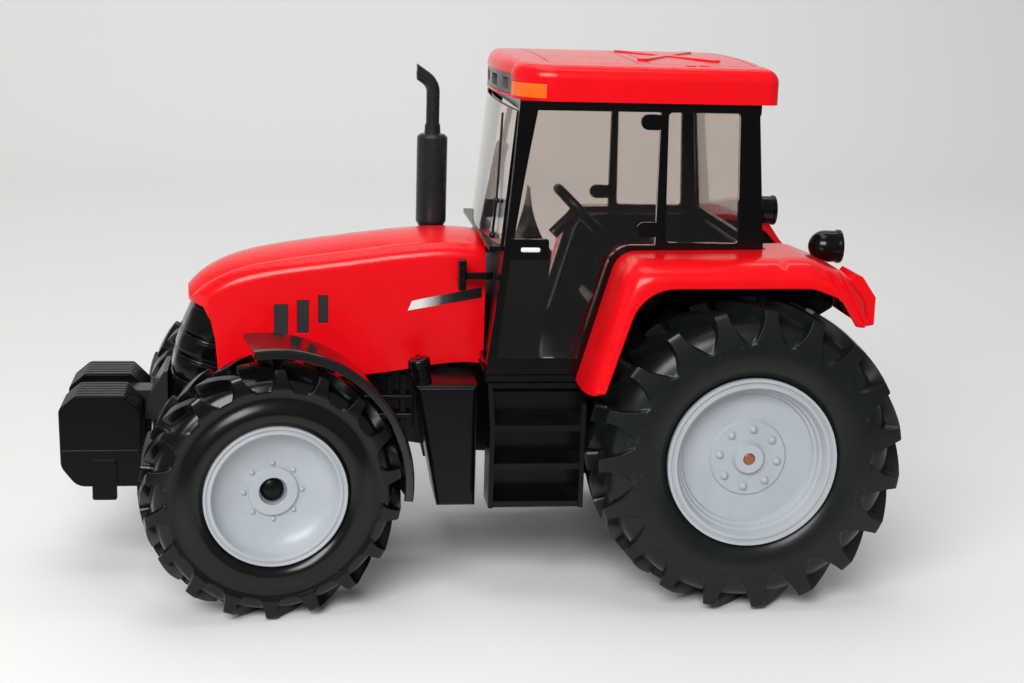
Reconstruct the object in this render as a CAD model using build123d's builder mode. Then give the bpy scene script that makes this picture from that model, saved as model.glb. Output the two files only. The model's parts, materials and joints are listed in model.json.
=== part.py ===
"""Toy farm tractor, about one sixteenth of full size.

Millimetres. +X points forward, +Y to the tractor's left and +Z up. The origin is on the ground,
under the middle of the tractor's length. Distances "ahead" are counted from the rear axle.
"""

import math
import os

from build123d import *

# ---- driving dimensions -------------------------------------------------------------------
WHEELBASE = 178.0
REAR_REACH = 58.5  # from the rear axle back to the rearmost point, the rear tyres
FRONT_REACH = 254.0  # from the rear axle forward to the face of the front weights
REAR_AXLE_X = (REAR_REACH - FRONT_REACH) / 2

REAR_TYRE_R = 58.5
REAR_TYRE_W = 38.0
REAR_TRACK = 119.0  # between the middles of the rear tyres
REAR_SEAT_R = 29.2  # bead seat of the rear rim
FRONT_TYRE_R = 47.0
FRONT_TYRE_W = 30.0
FRONT_TRACK = 125.0
FRONT_SEAT_R = 23.4

KINGPIN_Y = 44.0
STEER_REST = 9.0  # degrees to the left, as the toy is parked
STEER_ARM = 16.0  # from the kingpin back to the tie rod's pin

AXLE_R = 2.2
KINGPIN_R = 3.0
TIE_PIN_R = 1.5
RUNNING = 0.05  # radial clearance of a turning fit
END_GAP = 0.3  # play beside a turning piece
SEAT_GAP = 0.05  # between a tyre and its rim
FIT = 0.1  # between pieces that are pressed or glued together
FLANGE_H = 2.5  # rim flange above the bead seat
FLANGE_W = 2.0  # rim flange, along the axle
RIM_INSET = 0.8  # from a tyre's widest point in to the rim's edge
BEAD_INSET = 3.1  # from a tyre's widest point in to its bead

CAB_HALF_W = 50.0
CAB_WALL = 3.5
CAB_FLOOR_Z = 85.2
WELL_Y = 38.0  # outer faces of the walls between the rear wheels and the cab
ROOF_BASE_Z = 186.5
ROOF_EDGE_Z = 198.6  # where the roof's sides roll over to its top
ROOF_CROWN = 1.8  # the top's rise from its edges to the middle
ROOF_HALF_W = 52.0
PANE = 1.6  # thickness of the clear glazing

BONNET_HALF_W = 24.0
BONNET_BACK = 94.0
FENDER_INNER_Y = 50.0
FENDER_OUTER_Y = 77.0
SKIN = 2.2  # thickness of a moulded shell

SIDES = (("left", 1), ("right", -1))
os.makedirs("parts", exist_ok=True)


def save(piece, name, place=Location()):
    """Put a finished piece in its place, label it and write it to its own file."""
    piece.part = piece.part.moved(place)
    piece.part.label = name
    export_step(piece.part, f"parts/{name}.step")


def side_plane(y):
    """Upright plane at a distance y to the left: sketch x is ahead of the rear axle, y is height."""
    return Plane(origin=(REAR_AXLE_X, y, 0), x_dir=(1, 0, 0), z_dir=(0, -1, 0))


def cross_plane(ahead):
    """Upright plane across the tractor: sketch x is to the left, y is height."""
    return Plane(origin=(REAR_AXLE_X + ahead, 0, 0), x_dir=(0, 1, 0), z_dir=(1, 0, 0))


def level_plane(z):
    """Level plane at height z: sketch x is ahead of the rear axle, y is to the left."""
    return Plane(origin=(REAR_AXLE_X, 0, z), x_dir=(1, 0, 0), z_dir=(0, 0, 1))


def axle_plane(ahead, height, side):
    """Plane that holds a wheel's axle: sketch x is outwards along the axle, y is the radius."""
    return Plane(origin=(REAR_AXLE_X + ahead, 0, height), x_dir=(0, side, 0), z_dir=(side, 0, 0))


def steering(side):
    """The turn about one kingpin that takes a piece from straight ahead to the parked angle."""
    pin = Location((REAR_AXLE_X + WHEELBASE, side * KINGPIN_Y, 0))
    return pin * Location((0, 0, 0), (0, 0, STEER_REST)) * pin.inverse()


def axis_of(plane):
    """The axle line of an axle plane."""
    return Axis(plane.origin, plane.x_dir)


def parallel(points, distance):
    """The same open outline a distance to its right, with every corner on the mitre."""
    shifted = []
    for i, (x, y) in enumerate(points):
        before = points[max(i - 1, 0)]
        after = points[min(i + 1, len(points) - 1)]
        normals = []
        for (x0, y0), (x1, y1) in ((before, (x, y)), ((x, y), after)):
            length = math.hypot(x1 - x0, y1 - y0)
            if length > 0:
                normals.append(((y1 - y0) / length, (x0 - x1) / length))
        nx = sum(n[0] for n in normals) / len(normals)
        ny = sum(n[1] for n in normals) / len(normals)
        scale = distance / (nx * nx + ny * ny)
        shifted.append((x + nx * scale, y + ny * scale))
    return shifted


# ---- wheels ---------------------------------------------------------------------------------
TYRE_LIP = 0.4  # the tyre's lip above the rim flange
SHOULDER_DROP = 3.0  # from the crown of the tread down to its shoulders
SHOULDER_INSET = 2.5


def tyre(plane, middle, width, radius, seat_r):
    """A plain tyre: bead at the rim, bulging side walls and a crowned tread band."""
    half = width / 2
    bead = half - BEAD_INSET
    lip_r = seat_r + FLANGE_H + TYRE_LIP
    shoulder_r = radius - SHOULDER_DROP
    shoulder = half - SHOULDER_INSET
    with BuildPart() as piece:
        with BuildSketch(plane):
            with BuildLine():
                Polyline((middle + bead, lip_r), (middle + bead, seat_r), (middle - bead, seat_r),
                         (middle - bead, lip_r))
                ThreePointArc((middle - bead, lip_r), (middle - half, (lip_r + shoulder_r) / 2),
                              (middle - shoulder, shoulder_r))
                ThreePointArc((middle - shoulder, shoulder_r), (middle, radius),
                              (middle + shoulder, shoulder_r))
                ThreePointArc((middle + shoulder, shoulder_r),
                              (middle + half, (lip_r + shoulder_r) / 2), (middle + bead, lip_r))
            make_face()
        revolve(axis=axis_of(plane))
    return piece


def rim(plane, outline):
    """A wheel disc and rim turned from one outline of (outwards, radius) corners."""
    with BuildPart() as piece:
        with BuildSketch(plane):
            with BuildLine():
                Polyline(*outline, close=True)
            make_face()
        revolve(axis=axis_of(plane))
    return piece


def barrel(face, back, seat_r, disc_r):
    """The back of a rim's outline, from the disc out over the inner flange to the outer one."""
    flange_r = seat_r + FLANGE_H
    return [
        (back, disc_r), (back, flange_r), (back + FLANGE_W, flange_r), (back + FLANGE_W, seat_r),
        (face - FLANGE_W, seat_r), (face - FLANGE_W, flange_r),
    ]


REAR_MID = REAR_TRACK / 2
REAR_FACE = REAR_MID + REAR_TYRE_W / 2 - RIM_INSET  # outer edge of the rim flange
REAR_BACK = REAR_MID - REAR_TYRE_W / 2 + RIM_INSET
REAR_BORE_R = AXLE_R + RUNNING
REAR_DISC_IN = 9.9  # back of the disc, in from the flange
REAR_HUB_IN = 12.5
AXLE_END_IN = 5.0  # the axle's end, in from the flange
# outside of the rear rim: (in from the face, radius) down the steps to the hub
REAR_STEPS = [
    (0, REAR_SEAT_R + FLANGE_H), (0, 30.5), (0.6, 30.3), (0.6, 29.7), (0.1, 29.5), (0.1, 28.3),
    (1.6, 27.7), (4.0, 27.2), (4.3, 26.4), (6.2, 25.9), (6.5, 25.0), (7.9, 24.5), (7.9, 14.6),
    (7.1, 14.0), (7.1, 6.2), (6.4, 6.0), (6.4, 5.7), (5.2, 5.4),
]
REAR_OUTLINE = (
    [(REAR_FACE - depth, radius) for depth, radius in REAR_STEPS]
    + [(REAR_FACE - 5.2, REAR_BORE_R), (REAR_FACE - REAR_HUB_IN, REAR_BORE_R),
       (REAR_FACE - REAR_HUB_IN, 7.0), (REAR_FACE - REAR_DISC_IN, 8.0),
       (REAR_FACE - REAR_DISC_IN, 24.6), (REAR_FACE - 7.6, 26.0)]
    + barrel(REAR_FACE, REAR_BACK, REAR_SEAT_R, 27.4)
)
FRONT_MID = FRONT_TRACK / 2
FRONT_FACE = FRONT_MID + FRONT_TYRE_W / 2 - RIM_INSET
FRONT_BACK = FRONT_MID - FRONT_TYRE_W / 2 + RIM_INSET
CAP_R = 4.2
CAP_FACE = FRONT_FACE - 8.6  # crown of the cap inside the hub
CAP_BACK = CAP_FACE - 2.6
CAP_DOME = 1.2  # height of the cap's crown, part of a ball centred on the axle
CAP_BALL_R = (CAP_R**2 + CAP_DOME**2) / (2 * CAP_DOME)
CAP_HALF_TURN = math.asin(CAP_R / CAP_BALL_R) / 2
CAP_MID = (CAP_FACE - CAP_BALL_R * (1 - math.cos(CAP_HALF_TURN)),
           CAP_BALL_R * math.sin(CAP_HALF_TURN))
HUB_HOLE_R = CAP_R + 0.9
# outside of the front rim: (in from the face, radius) down the steps to the hub's hole
FRONT_STEPS = [
    (0, FRONT_SEAT_R + FLANGE_H), (0, 25.0), (0.5, 24.8), (0.5, 24.3), (0.1, 24.1), (0.1, 23.2),
    (1.5, 22.6), (5.0, 21.8), (6.8, 19.6), (7.8, 16.4), (8.3, 12.6), (8.3, 9.0), (7.1, 8.7),
    (7.1, HUB_HOLE_R),
]
FRONT_OUTLINE = (
    [(FRONT_FACE - depth, radius) for depth, radius in FRONT_STEPS]
    + [(CAP_BACK - END_GAP, HUB_HOLE_R), (CAP_BACK - END_GAP, AXLE_R + RUNNING),
       (CAP_BACK - 6.0, AXLE_R + RUNNING), (CAP_BACK - 6.0, 7.0), (CAP_BACK - 2.2, 8.6),
       (FRONT_FACE - 10.2, 13.6), (FRONT_FACE - 9.4, 18.0), (FRONT_FACE - 6.4, 21.6)]
    + barrel(FRONT_FACE, FRONT_BACK, FRONT_SEAT_R, 22.0)
)

for name, side in SIDES:
    rear_plane = axle_plane(0, REAR_TYRE_R, side)
    save(tyre(rear_plane, REAR_MID, REAR_TYRE_W, REAR_TYRE_R, REAR_SEAT_R + SEAT_GAP),
         f"{name}_rear_tyre")
    save(rim(rear_plane, REAR_OUTLINE), f"{name}_rear_rim")
    front_plane = axle_plane(WHEELBASE, FRONT_TYRE_R, side)
    save(tyre(front_plane, FRONT_MID, FRONT_TYRE_W, FRONT_TYRE_R, FRONT_SEAT_R + SEAT_GAP),
         f"{name}_front_tyre", steering(side))
    save(rim(front_plane, FRONT_OUTLINE), f"{name}_front_rim", steering(side))

# ---- rear axle: one rod whose ends show in the hubs -----------------------------------------
with BuildPart() as rear_axle:
    with BuildSketch(side_plane(0)):
        with Locations((0, REAR_TYRE_R)):
            Circle(AXLE_R)
    extrude(amount=REAR_FACE - AXLE_END_IN, both=True)
    chamfer(rear_axle.faces().filter_by(Axis.Y).edges(), length=0.4)
save(rear_axle, "rear_axle")

# ---- front axle beam with an eye for each kingpin and a boss under the engine ----------------
EYE_R = 6.0
EYE_Z0, EYE_Z1 = FRONT_TYRE_R - 5.0, FRONT_TYRE_R + 5.0
BEAM_W = 11.0
BEAM_DROP = 6.0  # the beam's belly below its eyes
with BuildPart() as front_axle:
    with BuildSketch(level_plane(EYE_Z0)):
        with Locations((WHEELBASE, 0)):
            Rectangle(BEAM_W, 2 * KINGPIN_Y)
        with Locations((WHEELBASE, KINGPIN_Y), (WHEELBASE, -KINGPIN_Y)):
            Circle(EYE_R)
            Circle(KINGPIN_R + RUNNING, mode=Mode.SUBTRACT)
    extrude(amount=EYE_Z1 - EYE_Z0)
    with BuildSketch(cross_plane(WHEELBASE - BEAM_W / 2)):
        with BuildLine():
            Polyline((-30, EYE_Z0), (-13, EYE_Z0 - BEAM_DROP), (13, EYE_Z0 - BEAM_DROP),
                     (30, EYE_Z0), close=True)
        make_face()
    extrude(amount=BEAM_W)
save(front_axle, "front_axle")

# ---- steering knuckles, tie rod and front fenders -------------------------------------------
CHEEK = 3.2  # thickness of the knuckle's plates above and below the eye
CHEEK_R = 6.5
ARM_W = 6.0
ARM_Z1 = EYE_Z0 - END_GAP  # top of the lower cheek and of the steering arm
ARM_Z0 = ARM_Z1 - CHEEK
TOP_Z0 = EYE_Z1 + END_GAP
TOP_Z1 = TOP_Z0 + CHEEK
WEB_Y = KINGPIN_Y + EYE_R + 0.8  # inner face of the web that joins the two cheeks
WEB_T = 3.2
ROD_H = 3.0  # height of the tie rod
GUARD_R = 52.7  # outer radius of the front fender
GUARD_INNER_Y, GUARD_OUTER_Y = 47.5, 75.0
GUARD_SKIN = 1.7
GUARD_LIP = 3.4  # depth of the lip that turns down along the outer edge
GUARD_START, GUARD_END = 83.5, 187.0  # degrees, from straight ahead round over the top
GUARD_CENTRE = (WHEELBASE + 1.7, FRONT_TYRE_R + 1.0)
BRACKET_Y, BRACKET_T, BRACKET_W = 44.0, 2.4, 9.0


def guard_band(depth):
    """The fender's arc as a closed sketch outline, from its outer radius in to a depth."""
    over = CenterArc(GUARD_CENTRE, GUARD_R, GUARD_START, GUARD_END - GUARD_START)
    under = CenterArc(GUARD_CENTRE, GUARD_R - depth, GUARD_START, GUARD_END - GUARD_START)
    Line(over @ 0, under @ 0)
    Line(over @ 1, under @ 1)


for name, side in SIDES:
    with BuildPart() as knuckle:
        for cheek_z in (ARM_Z0, TOP_Z0):
            with BuildSketch(level_plane(cheek_z)):
                with Locations((WHEELBASE, side * KINGPIN_Y)):
                    Circle(CHEEK_R)
                with Locations((WHEELBASE, side * (KINGPIN_Y + EYE_R))):
                    Rectangle(9, 8)
            extrude(amount=CHEEK)
        with BuildSketch(level_plane(ARM_Z0)):
            with Locations((WHEELBASE - STEER_ARM / 2, side * KINGPIN_Y)):
                SlotCenterToCenter(STEER_ARM, ARM_W)
        extrude(amount=CHEEK)
        with BuildSketch(level_plane(ARM_Z1)):
            with Locations((WHEELBASE - STEER_ARM, side * KINGPIN_Y)):
                Circle(TIE_PIN_R)
        extrude(amount=END_GAP + ROD_H + 0.6)
        with BuildSketch(level_plane(ARM_Z0)):
            with Locations((WHEELBASE, side * KINGPIN_Y)):
                Circle(KINGPIN_R)
            with Locations((WHEELBASE, side * (WEB_Y + WEB_T / 2))):
                Rectangle(9, WEB_T)
        extrude(amount=TOP_Z1 - ARM_Z0)
        spindle_plane = axle_plane(WHEELBASE, FRONT_TYRE_R, side)
        with BuildSketch(spindle_plane):
            with BuildLine():
                Polyline((WEB_Y + 2.0, 0), (WEB_Y + 2.0, AXLE_R), (CAP_BACK, AXLE_R),
                         (CAP_BACK, CAP_R), (CAP_FACE - CAP_DOME, CAP_R))
                ThreePointArc((CAP_FACE - CAP_DOME, CAP_R), CAP_MID, (CAP_FACE, 0))
                Line((CAP_FACE, 0), (WEB_Y + 2.0, 0))
            make_face()
        revolve(axis=axis_of(spindle_plane))
    save(knuckle, f"{name}_knuckle", steering(side))

    with BuildPart() as guard:
        with BuildSketch(side_plane(side * GUARD_OUTER_Y)):
            with BuildLine():
                guard_band(GUARD_SKIN)
            make_face()
        extrude(amount=side * (GUARD_OUTER_Y - GUARD_INNER_Y))
        with BuildSketch(side_plane(side * GUARD_OUTER_Y)):
            with BuildLine():
                guard_band(GUARD_LIP)
            make_face()
        extrude(amount=side * GUARD_SKIN)
        rolled = guard.edges().filter_by(GeomType.CIRCLE).filter_by(
            lambda e: abs(e.radius - GUARD_R) < 0.01 and abs(abs(e.center().Y) - GUARD_OUTER_Y) < 0.01)
        fillet(rolled, radius=0.8 * GUARD_SKIN)
        # the bracket that stands on the knuckle and reaches over to the fender
        bracket_top = GUARD_CENTRE[1] + GUARD_R - GUARD_SKIN - 0.3
        with BuildSketch(side_plane(side * (BRACKET_Y + BRACKET_T))):
            with Locations((WHEELBASE - 2.0, (TOP_Z1 + bracket_top) / 2)):
                Rectangle(BRACKET_W, bracket_top - TOP_Z1)
        extrude(amount=side * BRACKET_T)
        with BuildSketch(side_plane(side * (GUARD_INNER_Y + 2.5))):
            with Locations((WHEELBASE - 2.0, bracket_top - 0.2)):
                Rectangle(BRACKET_W, BRACKET_T)
        extrude(amount=side * (GUARD_INNER_Y + 2.5 - BRACKET_Y))
    save(guard, f"{name}_front_fender", steering(side))

turn = math.radians(STEER_REST)
TIE_AHEAD = WHEELBASE - STEER_ARM * math.cos(turn)
TIE_SHIFT = -STEER_ARM * math.sin(turn)
TIE_PINS = [(TIE_AHEAD, side * KINGPIN_Y + TIE_SHIFT) for _, side in SIDES]
with BuildPart() as tie_rod:
    with BuildSketch(level_plane(ARM_Z1 + END_GAP)):
        with Locations((TIE_AHEAD, TIE_SHIFT)):
            Rectangle(2 * TIE_PIN_R, 2 * KINGPIN_Y)
        with Locations(*TIE_PINS):
            Circle(2 * TIE_PIN_R)
            Circle(TIE_PIN_R + RUNNING, mode=Mode.SUBTRACT)
    extrude(amount=ROD_H)
save(tie_rod, "tie_rod")

# ---- chassis: one moulding for engine, gearbox and rear axle housing -------------------------
ENGINE_HALF_W = 15.0
CHASSIS_FRONT = 193.5
TRUMPET_R = 9.0
DECK = [(-24.0, 82.6), (BONNET_BACK, 81.9), (140.0, 78.3), (170.0, 75.7), (CHASSIS_FRONT, 74.7)]
SHAFT_DEPTH = 2.5  # how far the engine's ribs and rods stand out from its sides
with BuildPart() as chassis:
    with BuildSketch(side_plane(ENGINE_HALF_W)):
        with BuildLine():
            Polyline((-24, 50), *DECK, (CHASSIS_FRONT, 58), (188, 54), (188, EYE_Z1),
                     (168, EYE_Z1), (168, 54), (150, 54), (100, 46), (62, 44), (0, 44), close=True)
        make_face()
    extrude(amount=2 * ENGINE_HALF_W)
    for side in (1, -1):
        # upright ribs on the engine, crossed by two pipes
        with BuildSketch(side_plane(side * (ENGINE_HALF_W + SHAFT_DEPTH))):
            with Locations((132, 66)):
                with GridLocations(5.2, 0, 6, 1):
                    Rectangle(2.2, 22)
        extrude(amount=side * (SHAFT_DEPTH + 1))
        for height, radius in ((68.5, 1.1), (61.0, 1.5)):
            with BuildSketch(cross_plane(120.8)):
                with Locations((side * (ENGINE_HALF_W + SHAFT_DEPTH), height)):
                    Circle(radius)
            extrude(amount=26)
        # the gearbox's round side cover
        with BuildSketch(side_plane(side * (ENGINE_HALF_W + 2))):
            with Locations((56, 62)):
                Circle(11)
        extrude(amount=side * 3)
        # hoops that hold the rear axle's trumpet housing
        with BuildSketch(side_plane(side * (REAR_BACK - 4))):
            with Locations((0, REAR_TYRE_R)):
                Circle(TRUMPET_R)
        extrude(amount=side * (REAR_BACK - 4 - ENGINE_HALF_W + 1))
        with BuildSketch(side_plane(side * 26)):
            with Locations((0, REAR_TYRE_R)):
                Circle(TRUMPET_R + 2)
        extrude(amount=side * 4)
    with BuildSketch(side_plane(REAR_BACK)):
        with Locations((0, REAR_TYRE_R)):
            Circle(AXLE_R + 0.02)
    extrude(amount=2 * REAR_BACK, mode=Mode.SUBTRACT)
save(chassis, "chassis")

# ---- grille: a nose of four overlapping slats that wraps round to the sides -------------------
GRILLE_HALF_W = 20.4
GRILLE_CORNER_R = 11.0
NOSE_BOW = 0.8  # how far the front bows forward between its corners
GRILLE_LOW = 61.0
SLAT_RAKE = 17.0  # degrees, the slats fall away towards the back
SLAT_GROOVE = 1.0  # depth of the steps between the slats
SLAT_ORIGIN = 204.0  # the slats' heights are counted here, ahead of the rear axle
# rear edge of the bonnet's mouth, from its foot up to the nose: (ahead, height)
MOUTH = [
    (194.6, 55.0), (194.6, 76.0), (195.9, 91.6), (197.6, 99.2), (200.4, 104.2), (204.6, 105.4),
    (216.0, 105.4),
]
# (height of the lower edge at SLAT_ORIGIN, of the upper edge, front at the lower, at the upper edge)
SLATS = [
    (56.5, 74.4, 214.2, 214.0),
    (75.2, 83.8, 214.0, 212.0),
    (84.6, 92.4, 212.2, 209.4),
    (93.2, 108.0, 209.6, 203.5),
]


def raked_plane(z):
    """A slat's plane: sketch x is ahead of the rear axle along the rake, y is to the left."""
    rake = math.radians(SLAT_RAKE)
    level = z - SLAT_ORIGIN * math.tan(rake)
    return Plane(origin=(REAR_AXLE_X, 0, level), x_dir=(math.cos(rake), 0, math.sin(rake)),
                 z_dir=(-math.sin(rake), 0, math.cos(rake)))


def slat_outline(front, inset):
    """Plan of the nose in a raked plane, rounded at both front corners."""
    long = front / math.cos(math.radians(SLAT_RAKE)) - inset
    back = 190.0 / math.cos(math.radians(SLAT_RAKE))
    half = GRILLE_HALF_W - inset
    straight = half - GRILLE_CORNER_R  # half the width between the two corners
    elbow = (long - 0.33 * GRILLE_CORNER_R, half - 0.3 * GRILLE_CORNER_R)  # middle of a corner
    Line((back, -half), (back, half))
    Line((back, half), (long - GRILLE_CORNER_R, half))
    ThreePointArc((long - GRILLE_CORNER_R, half), elbow, (long - NOSE_BOW, straight))
    ThreePointArc((long - NOSE_BOW, straight), (long, 0), (long - NOSE_BOW, -straight))
    ThreePointArc((long - NOSE_BOW, -straight), (elbow[0], -elbow[1]), (long - GRILLE_CORNER_R, -half))
    Line((long - GRILLE_CORNER_R, -half), (back, -half))


with BuildPart() as grille:
    for low, high, low_front, high_front in SLATS:
        with BuildSketch(raked_plane(low)):
            with BuildLine():
                slat_outline(low_front, 0)
            make_face()
        with BuildSketch(raked_plane(high)):
            with BuildLine():
                slat_outline(high_front, 0)
            make_face()
        loft(ruled=True)
    for (_, gap_low, _, front), (gap_high, _, _, _) in zip(SLATS[:-1], SLATS[1:]):
        with BuildSketch(raked_plane(gap_low - 1)):
            with BuildLine():
                slat_outline(front, SLAT_GROOVE)
            make_face()
        extrude(amount=gap_high - gap_low + 2)
    # trimmed to the bonnet's mouth and to the front axle's bolster
    with BuildSketch(side_plane(GRILLE_HALF_W + 1)):
        with BuildLine():
            Polyline((MOUTH[0][0] + FIT, GRILLE_LOW),
                     *[(ahead + FIT, height - FIT) for ahead, height in MOUTH[1:]],
                     (MOUTH[-1][0] + FIT, GRILLE_LOW), close=True)
        make_face()
    extrude(amount=2 * GRILLE_HALF_W + 2, mode=Mode.INTERSECT)
save(grille, "grille")

# ---- bonnet: cross sections from the cab to the nose, with the grille's mouth cut out ----------
# (ahead, half width, lower edge, shoulder height, crown height)
BONNET_SECTIONS = [
    (BONNET_BACK, BONNET_HALF_W, 83.0, 125.9, 131.0),
    (128.0, BONNET_HALF_W, 80.4, 125.9, 131.0),
    (162.0, BONNET_HALF_W - 0.4, 77.6, 121.2, 126.6),
    (188.0, BONNET_HALF_W - 1.8, 76.4, 115.7, 121.4),
    (200.0, BONNET_HALF_W - 3.6, 75.0, 109.4, 115.8),
    (207.5, BONNET_HALF_W - 5.6, 74.0, 101.4, 108.4),
]
SHOULDER_IN = 6.5  # how far the rounded shoulder reaches in from the side
NOSE_CORNER_R = 10.0
# (ahead of the rear axle, foot, top, width) of the air vents in each side
VENTS = [(171.2, 90.4, 106.2, 5.4), (163.0, 95.0, 107.8, 4.6), (155.4, 98.8, 109.7, 3.8)]
VENT_DEPTH = 1.6
with BuildPart() as bonnet:
    for ahead, half, low, shoulder, crown in BONNET_SECTIONS:
        edge = (half - SHOULDER_IN, shoulder + 2.4)
        with BuildSketch(cross_plane(ahead)):
            with BuildLine():
                Polyline((-half, shoulder - 4.0), (-half, low), (half, low), (half, shoulder - 4.0))
                ThreePointArc((half, shoulder - 4.0), (half - 1.7, shoulder + 0.6), edge)
                ThreePointArc(edge, (0, crown), (-edge[0], edge[1]))
                ThreePointArc((-edge[0], edge[1]), (1.7 - half, shoulder + 0.6), (-half, shoulder - 4.0))
            make_face()
    loft()
    # the nose is rounded in plan
    with BuildSketch(level_plane(70)):
        with BuildLine():
            Polyline((BONNET_BACK, -30), (BONNET_BACK, 30), (195, 30), (196.5, 21.5))
            ThreePointArc((196.5, 21.5), (203.6, 16.2), (206.3, 8.0))
            ThreePointArc((206.3, 8.0), (206.8, 0), (206.3, -8.0))
            ThreePointArc((206.3, -8.0), (203.6, -16.2), (196.5, -21.5))
            Polyline((196.5, -21.5), (195, -30), (BONNET_BACK, -30))
        make_face()
    extrude(amount=70, mode=Mode.INTERSECT)
    with BuildSketch(side_plane(BONNET_HALF_W + 2)):
        with BuildLine():
            Polyline(*MOUTH, (220, MOUTH[0][1]), close=True)
        make_face()
    extrude(amount=2 * BONNET_HALF_W + 4, mode=Mode.SUBTRACT)
    for side in (1, -1):
        with BuildSketch(side_plane(side * (BONNET_HALF_W + 1))):
            for ahead, foot, top, width in VENTS:
                with Locations((ahead, (foot + top) / 2)):
                    Rectangle(width, top - foot)
        extrude(amount=side * (1 + VENT_DEPTH), mode=Mode.SUBTRACT)
save(bonnet, "bonnet")

with BuildPart() as side_vents:
    for side in (1, -1):
        with BuildSketch(side_plane(side * (BONNET_HALF_W - 0.9))):
            for ahead, foot, top, width in VENTS:
                with Locations((ahead, (foot + top) / 2)):
                    Rectangle(width - 2 * FIT, top - foot - 2 * FIT)
        extrude(amount=side * (VENT_DEPTH - 0.9))
save(side_vents, "side_vents")

# ---- front weights and their carrier --------------------------------------------------------
WEIGHT_BACK = 223.5
WEIGHT_LOW, WEIGHT_TOP = 36.2, 72.0
WEIGHT_INNER_Y, WEIGHT_OUTER_Y = 6.0, 28.0
PLATES = 6  # plates in each half of the stack
PLATE_GROOVE = 0.5
# side view of one plate: (ahead, height)
PLATE = [
    (WEIGHT_BACK, WEIGHT_LOW + 3), (WEIGHT_BACK, 65.0), (230.4, WEIGHT_TOP), (247.6, WEIGHT_TOP),
    (FRONT_REACH, 64.5), (FRONT_REACH - 0.6, 45.0), (247.0, WEIGHT_LOW), (WEIGHT_BACK + 3, WEIGHT_LOW),
]
with BuildPart() as front_weights:
    for side in (1, -1):
        with BuildSketch(side_plane(side * WEIGHT_OUTER_Y)) as plate:
            with BuildLine():
                Polyline(*PLATE, close=True)
            make_face()
            low_front = plate.vertices().sort_by(Axis.Z)[:2].sort_by(Axis.X)[-1]
            fillet(low_front, radius=6.0)
        extrude(amount=side * (WEIGHT_OUTER_Y - WEIGHT_INNER_Y))
        pitch = (WEIGHT_OUTER_Y - WEIGHT_INNER_Y) / PLATES
        for i in range(1, PLATES):
            with BuildSketch(side_plane(side * (WEIGHT_INNER_Y + i * pitch + PLATE_GROOVE / 2))):
                with BuildLine():
                    Polyline(*PLATE, close=True)
                make_face()
                offset(amount=1.0, kind=Kind.INTERSECTION)
                with BuildLine():
                    Polyline(*PLATE, close=True)
                core = make_face(mode=Mode.PRIVATE)
                offset(core, amount=-PLATE_GROOVE, kind=Kind.INTERSECTION, mode=Mode.SUBTRACT)
            extrude(amount=side * PLATE_GROOVE, mode=Mode.SUBTRACT)
        # the lock plate on the outermost weight, with the tab that hangs below it
        with BuildSketch(side_plane(side * WEIGHT_OUTER_Y)):
            with Locations((237.4, (31.0 + 47.0) / 2)):
                Rectangle(9.6, 16.0)
        extrude(amount=side * 2.4)
        with BuildSketch(side_plane(side * (WEIGHT_OUTER_Y + 0.4))):
            with Locations((237.4, 42.4)):
                Rectangle(9.6, 9.2)
        extrude(amount=side * 0.8)
        with BuildSketch(cross_plane(FRONT_REACH - 34)):
            with Locations((side * WEIGHT_OUTER_Y, 50.4)):
                Rectangle(1.2, 0.9)
        extrude(amount=34 - 2.5, mode=Mode.SUBTRACT)
save(front_weights, "front_weights")

CARRIER_Z = 58.7
CARRIER_FRONT = 246.0
with BuildPart() as weight_carrier:
    with BuildSketch(level_plane(CARRIER_Z)):
        with Locations(((214.3 + CARRIER_FRONT) / 2, 0)):
            Rectangle(CARRIER_FRONT - 214.3, 2 * (WEIGHT_INNER_Y - FIT))
    extrude(amount=9.6)
    with BuildSketch(side_plane(13)):
        with BuildLine():
            Polyline((214.4, CARRIER_Z), (214.4, 77.6), (216.0, 77.2), (221.7, 67.4), (223.1, 62.6),
                     (223.1, CARRIER_Z), close=True)
        make_face()
    extrude(amount=26)
save(weight_carrier, "weight_carrier")

# ---- fuel tank, filler cap and the battery box opposite --------------------------------------
TANK_INNER_Y, TANK_OUTER_Y = 17.9, 48.0
TANK_TOP_Z = 80.6
TANK_EDGE_R = 2.2
NECK_AHEAD, NECK_Y, NECK_R = 119.2, 42.0, 3.1
CAP_TILT = 12.0  # degrees, the filler neck and its cap lean forward
# side view: (ahead, height)
TANK = [(98.5, 33.5), (113.0, 33.5), (122.0, TANK_TOP_Z), (98.5, TANK_TOP_Z)]
for name, side in (("fuel_tank", 1), ("battery_box", -1)):
    with BuildPart() as tank:
        with BuildSketch(side_plane(side * TANK_OUTER_Y)):
            with BuildLine():
                Polyline(*TANK, close=True)
            make_face()
        extrude(amount=side * (TANK_OUTER_Y - TANK_INNER_Y))
        outer = tank.faces().sort_by(Axis.Y)[-1 if side == 1 else 0]
        fillet(outer.edges(), radius=TANK_EDGE_R)
        if side == 1:
            neck_plane = Plane(origin=(REAR_AXLE_X + NECK_AHEAD - 1.2, NECK_Y, TANK_TOP_Z - 3),
                               x_dir=(0, 1, 0),
                               z_dir=(math.sin(math.radians(CAP_TILT)), 0, math.cos(math.radians(CAP_TILT))))
            with BuildSketch(neck_plane):
                Circle(NECK_R + 0.5)
            with BuildSketch(neck_plane.offset(9.0)):
                Circle(NECK_R)
            loft()
        else:
            # the battery box has a lid with a rim, and two ribs across its face
            with BuildSketch(level_plane(TANK_TOP_Z)):
                with Locations((109.5, side * 36)):
                    Rectangle(19, 20)
            extrude(amount=2)
            with BuildSketch(side_plane(side * (TANK_OUTER_Y + 0.8))):
                with Locations((106, 70), (105, 62)):
                    Rectangle(12, 1.6)
            extrude(amount=side * 2)
    save(tank, name)
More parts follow.
